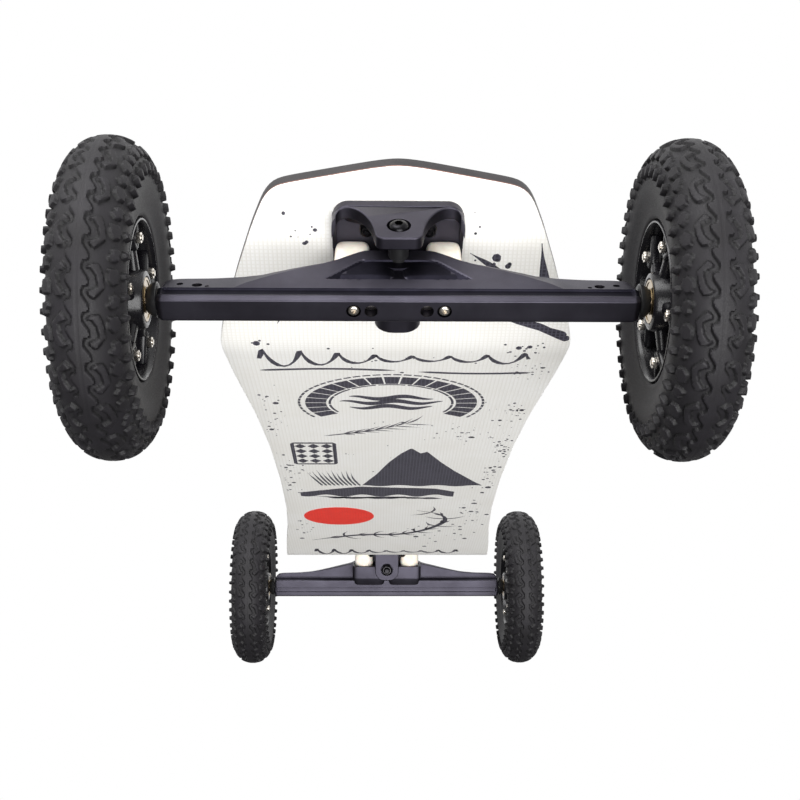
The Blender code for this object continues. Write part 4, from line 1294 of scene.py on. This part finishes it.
# turned parts of a truck, profiles in mm: (radius, distance, half width of a hexagon if any)
# along the kingpin: piece, node, finish, slot, whether it is a tube, profile
kingpinParts = (
    ("kingpin", "kingpin_bolt", "blackOxideSteel", "black_steel", False, (
        (0, 36.4), (2.6, 36.4), (3.6, 37.2), (4.0, 37.8), (4.0, 113.3), (6.6, 113.3), (7.0, 113.8),
        (6.9, 115.4), (6.3, 117.2), (5.3, 118.5), (3.8, 119.3), (9, 119.4, 2.5), (9, 116.0, 2.5), (0, 116.0),
    )),
    ("kingpin_lock_nut", "kingpin_nut", "blackOxideSteel", "black_steel", True, (
        (4.3, 39.3), (5.2, 39.3), (6.0, 40.0), (6.9, 40.4, 6.5), (7.5, 40.9, 6.5), (7.5, 45.8, 6.5),
        (7.0, 46.4, 6.5), (4.3, 46.4),
    )),
    ("bush_outer", "pivot_bush_outer", "blackAcetal", "bush", True, (
        (4.35, 85.3), (6.1, 85.3), (6.1, 94.8), (6.6, 95.2), (6.6, 107.8), (6.2, 108.1), (4.35, 108.1),
    )),
    ("bush_inner", "pivot_bush_inner", "blackAcetal", "bush", True, (
        (4.35, 76.7), (6.1, 76.7), (6.1, 66.4), (9.6, 66.4), (10.0, 66.0), (9.2, 60.5), (10.0, 55.0),
        (9.6, 54.4), (4.35, 54.4),
    )),
)
# at each bolt through the deck, the bolt's own row first: end of the name, whether a tube, profile
boltParts = (
    ("", False, (
        (0, -14.2), (2.2, -14.2), (2.5, -13.8), (2.5, 8.9), (5.2, 11.6), (5.2, 11.8), (9, 11.8, 1.6),
        (9, 10.2, 1.6), (0, 10.2),
    )),
    ("_nut", True, (
        (2.55, -7.9), (4.3, -7.9, 4.0), (4.6, -8.3, 4.0), (4.6, -11.2, 4.0), (4.1, -11.7, 4.0),
        (3.4, -12.4), (2.55, -12.4),
    )),
    ("_washer", True, ((2.55, -7.05), (5.0, -7.05), (5.0, -7.85), (2.55, -7.85))),
)
lockScrew = (
    (0, 3.2), (9, 3.2, 1.5), (9, -0.5, 1.5), (2.4, -0.45), (3.2, 0.0), (3.65, 0.7), (3.65, 3.4), (2.0, 3.4),
    (2.0, 5.2), (0, 5.2),
)
# on the axle at each end, distances from the board's middle: piece, node, finish, slot, profile
axleParts = (
    ("spacer_ring", "axle_spacer", "blackAcetal", "bush", (
        (6.35, 150.4), (10.6, 150.4), (11.2, 150.9), (11.0, 152.2), (10.2, 154.0), (9.0, 155.6),
        (8.4, 156.4), (7.9, 156.7), (6.35, 156.7),
    )),
    ("lock_nut", "axle_nut", "zincPlatedSteel", "steel", (
        (6.1, 197.2), (11.6, 197.2, 9.5), (10.6, 197.2, 9.5), (10.97, 197.9, 9.5), (10.97, 203.1, 9.5),
        (9.7, 204.0, 9.5), (8.3, 204.0), (8.1, 205.0), (6.1, 205.0),
    )),
)


def makeTurned(name, profile, centre, axis, side, finish, slot, body, nodes=(), tube=False):
    # a profile turned about an axis of the truck; a tube closes on itself
    rows = standing(turned(mm(profile)), centre, axis)
    makePiece(name, [shell(rows, tube)], finish, body, slot, nodes, partial(inTruck, side=side))


def makeShockBlock(end, side, name, hand):
    # a urethane block, a rounded square by the deck and round in its cup: each row is
    # |cos|^(2/p), |sin|^(2/p) times its half size, p falling from 5 to 2 down the block
    x, y = hand * block["x"] / 1000, block["y"] / 1000
    z, half = (np.array(block[k], float)[:, None] for k in ("heights", "half"))
    power = 2 + 3 * ease(z, *block["turnsRound"])
    wide, tall = (wave * half for wave in squared(angles(72), 2 / power))
    grid = np.stack([wide, tall, np.broadcast_to(z, wide.shape)], -1)[::-1] / 1000 + (x, y, 0)
    place = partial(inTruck, side=side)
    title, nodes = f"{end}_urethane_block_{name}", [f"{end}_shock_block_{name}"]
    made = makePiece(title, [shell(grid)], "castUrethane", None, "shock_block", nodes, place)
    start, stop = (tuple(place([(x, y, z / 1000)])[0]) for z in block["bends"])
    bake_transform(made)


def makeTruck(end, side):
    # hanger, base plate, kingpin and bushes, then both sides' blocks, bolts, screws and axle parts
    arm = end + "_hanger_arm"
    axle = (0, board["axleY"], board["axleZ"])
    black, zinc = ("blackOxideSteel", "black_steel", "board"), ("zincPlatedSteel", "steel", arm)
    makeHanger(end, side)
    makeBasePlate(end, side)
    for piece, node, finish, slot, tube, profile in kingpinParts:
        pin = (0, 0, board["kingpinZ"])
        makeTurned(f"{end}_{piece}", profile, pin, "y", side, finish, slot, "board", [f"{end}_{node}"], tube)
    for name, hand in (("left", -side), ("right", side)):
        makeShockBlock(end, side, name, hand)
        for row, y in zip(("inner", "outer"), board["boltYs"]):
            spot = (hand * board["boltX"], y, 0)
            nodes = [f"{end}_truck_bolt_{row}_{name}"]
            for tail, tube, profile in boltParts:
                title = f"{end}_deck_bolt_{row}_{name}{tail}"
                makeTurned(title, profile, spot, "z", side, *black, () if tail else nodes, tube)
        seat, nodes = (hand * hanger["screwX"], axle[1], hanger["bottom"]), [f"{end}_axle_screw_{name}"]
        makeTurned(f"{end}_lock_screw_{name}", lockScrew, seat, "z", side, *zinc, nodes)

        def onAxle(points, hand=hand):
            return inTruck(standing(points, (0, 0, 0), "x") * (hand, 1, 1) + axle, side)

        for piece, node, finish, slot, profile in axleParts:
            nodes = [f"{end}_{name}_{node}"]
            makePiece(f"{end}_{name}_{piece}", [ring(profile)], finish, arm, slot, nodes, onAxle)
    thread = [(5.95 - 0.35 * (k % 2), 194.0 + k * 0.5) for k in range(26)]
    outerHalf = thread + [(5.3, 207.9), (0, 207.9)]
    axleRod = [(r, -h) for r, h in outerHalf[::-1]] + outerHalf
    makeTurned(end + "_axle_rod", axleRod, axle, "x", side, *zinc, [end + "_axle"])


for end, side in ends.items():
    makeTruck(end, side)
    print(end, "truck made")

stage = {
    "floor": "#f4f4f3",
    # height of the direction looked in, strength of the studio there; the camera itself sees white
    "sky": ((-1.0, 0.12), (-0.35, 0.16), (0.0, 0.5), (0.35, 0.85), (1.0, 1.25)),
    "lights": (
        # name, place, aimed at, size, watts
        ("frontHigh", (2.6, -0.9, 2.2), (0.3, 0, 0.1), 2.2, 95),
        ("frontLow", (4.0, 0.6, -2.6), (0.1, 0, 0.1), 4.0, 385),
        ("left", (0.9, -2.6, 0.9), (0.2, 0, 0.1), 2.0, 9),
        ("right", (0.9, 2.6, 0.9), (0.2, 0, 0.1), 2.0, 9),
        ("behind", (-2.4, 0.5, 2.2), (0, 0, 0.1), 3.0, 16),
    ),
    # the camera stands low in front of the nose and looks back along the underside
    "camera": (1.1630, -0.01364, -0.2147),
    "lens": 54.82,
    "turns": (1.155, 19.658, -0.237),  # yaw, pitch and roll in degrees
}


def makeSky(scene):
    # lights the object as a studio would, paler overhead and darker underfoot: a curve of
    # strength over the direction's height, both halved to fit the curve's range
    world = bpy.data.worlds.new("studio")
    world.use_nodes = True
    scene.world = world
    tree = world.node_tree
    way = add(tree, "ShaderNodeTexCoord").outputs["Generated"]
    height = add(tree, "ShaderNodeSeparateXYZ", None, {"Vector": way}).outputs["Z"]
    half = add(tree, "ShaderNodeMath", {1: 0.5, 2: 0.5}, {0: height}, operation="MULTIPLY_ADD")
    ramp = add(tree, "ShaderNodeFloatCurve", None, {"Value": half.outputs[0]})
    curve = ramp.mapping.curves[0]
    first, *others, last = [((h + 1) / 2, strength / 2) for h, strength in stage["sky"]]
    for point, spot in zip(curve.points, (first, last)):
        point.location = spot
    for spot in others:
        curve.points.new(*spot)
    ramp.mapping.update()
    double = add(tree, "ShaderNodeMath", {1: 2.0}, {0: ramp.outputs[0]}, operation="MULTIPLY")
    seen = add(tree, "ShaderNodeLightPath").outputs["Is Camera Ray"]
    strength = add(tree, "ShaderNodeMix", {"B": 1.0}, {"Factor": seen, "A": double.outputs[0]})
    background = tree.nodes["Background"]
    background.inputs["Color"].default_value = (1, 1, 1, 1)
    tree.links.new(strength.outputs["Result"], background.inputs["Strength"])


def makeFloor():
    # a pale floor that is only there from above, so the low camera looks past it
    mesh = bpy.data.meshes.new("floor")
    mesh.from_pydata([(-4, -4, 0), (4, -4, 0), (4, 4, 0), (-4, 4, 0)], [], [(0, 1, 2, 3)])
    floor = newObject("floor", mesh)
    floor.visible_shadow = floor.visible_diffuse = floor.visible_glossy = False
    material = bpy.data.materials.new("matt_paper_floor")
    material.use_nodes = True
    tree = material.node_tree
    shader = tree.nodes["Principled BSDF"]
    shader.inputs["Base Color"].default_value = linear(stage["floor"])
    shader.inputs["Roughness"].default_value = 0.9
    clear = add(tree, "ShaderNodeBsdfTransparent")
    behind = add(tree, "ShaderNodeNewGeometry").outputs["Backfacing"]
    blend = add(tree, "ShaderNodeMixShader", None, {0: behind, 1: shader.outputs[0], 2: clear.outputs[0]})
    tree.links.new(blend.outputs[0], tree.nodes["Material Output"].inputs["Surface"])
    mesh.materials.append(material)


def makeLights():
    # square area lights, each turned to what it is aimed at
    for name, spot, aim, size, watts in stage["lights"]:
        data = bpy.data.lights.new(name, "AREA")
        data.size = size
        data.energy = watts
        light = newObject(name, data)
        light.location = spot
        light.rotation_mode = "QUATERNION"
        light.rotation_quaternion = (Vector(aim) - Vector(spot)).to_track_quat("-Z", "Y")


def makeCamera(scene):
    # its axes from yaw and pitch, then rolled about the line of sight
    data = bpy.data.cameras.new("camera")
    data.lens, data.sensor_width = stage["lens"], 36
    data.clip_start, data.clip_end = 0.05, 50
    scene.camera = newObject("camera", data)
    yaw, pitch, roll = (math.radians(a) for a in stage["turns"])
    forward = Vector((-math.cos(yaw) * math.cos(pitch), math.sin(yaw) * math.cos(pitch), math.sin(pitch)))
    right = forward.cross(Vector((0, 0, 1))).normalized()
    up = right.cross(forward)
    right, up = right * math.cos(roll) + up * math.sin(roll), up * math.cos(roll) - right * math.sin(roll)
    turn = Matrix((right, up, -forward)).transposed().to_4x4()
    scene.camera.matrix_world = Matrix.Translation(stage["camera"]) @ turn


makeSky(bpy.context.scene)
makeFloor()
makeLights()
makeCamera(bpy.context.scene)
bpy.context.scene.view_settings.view_transform = "Standard"
print("stage set")
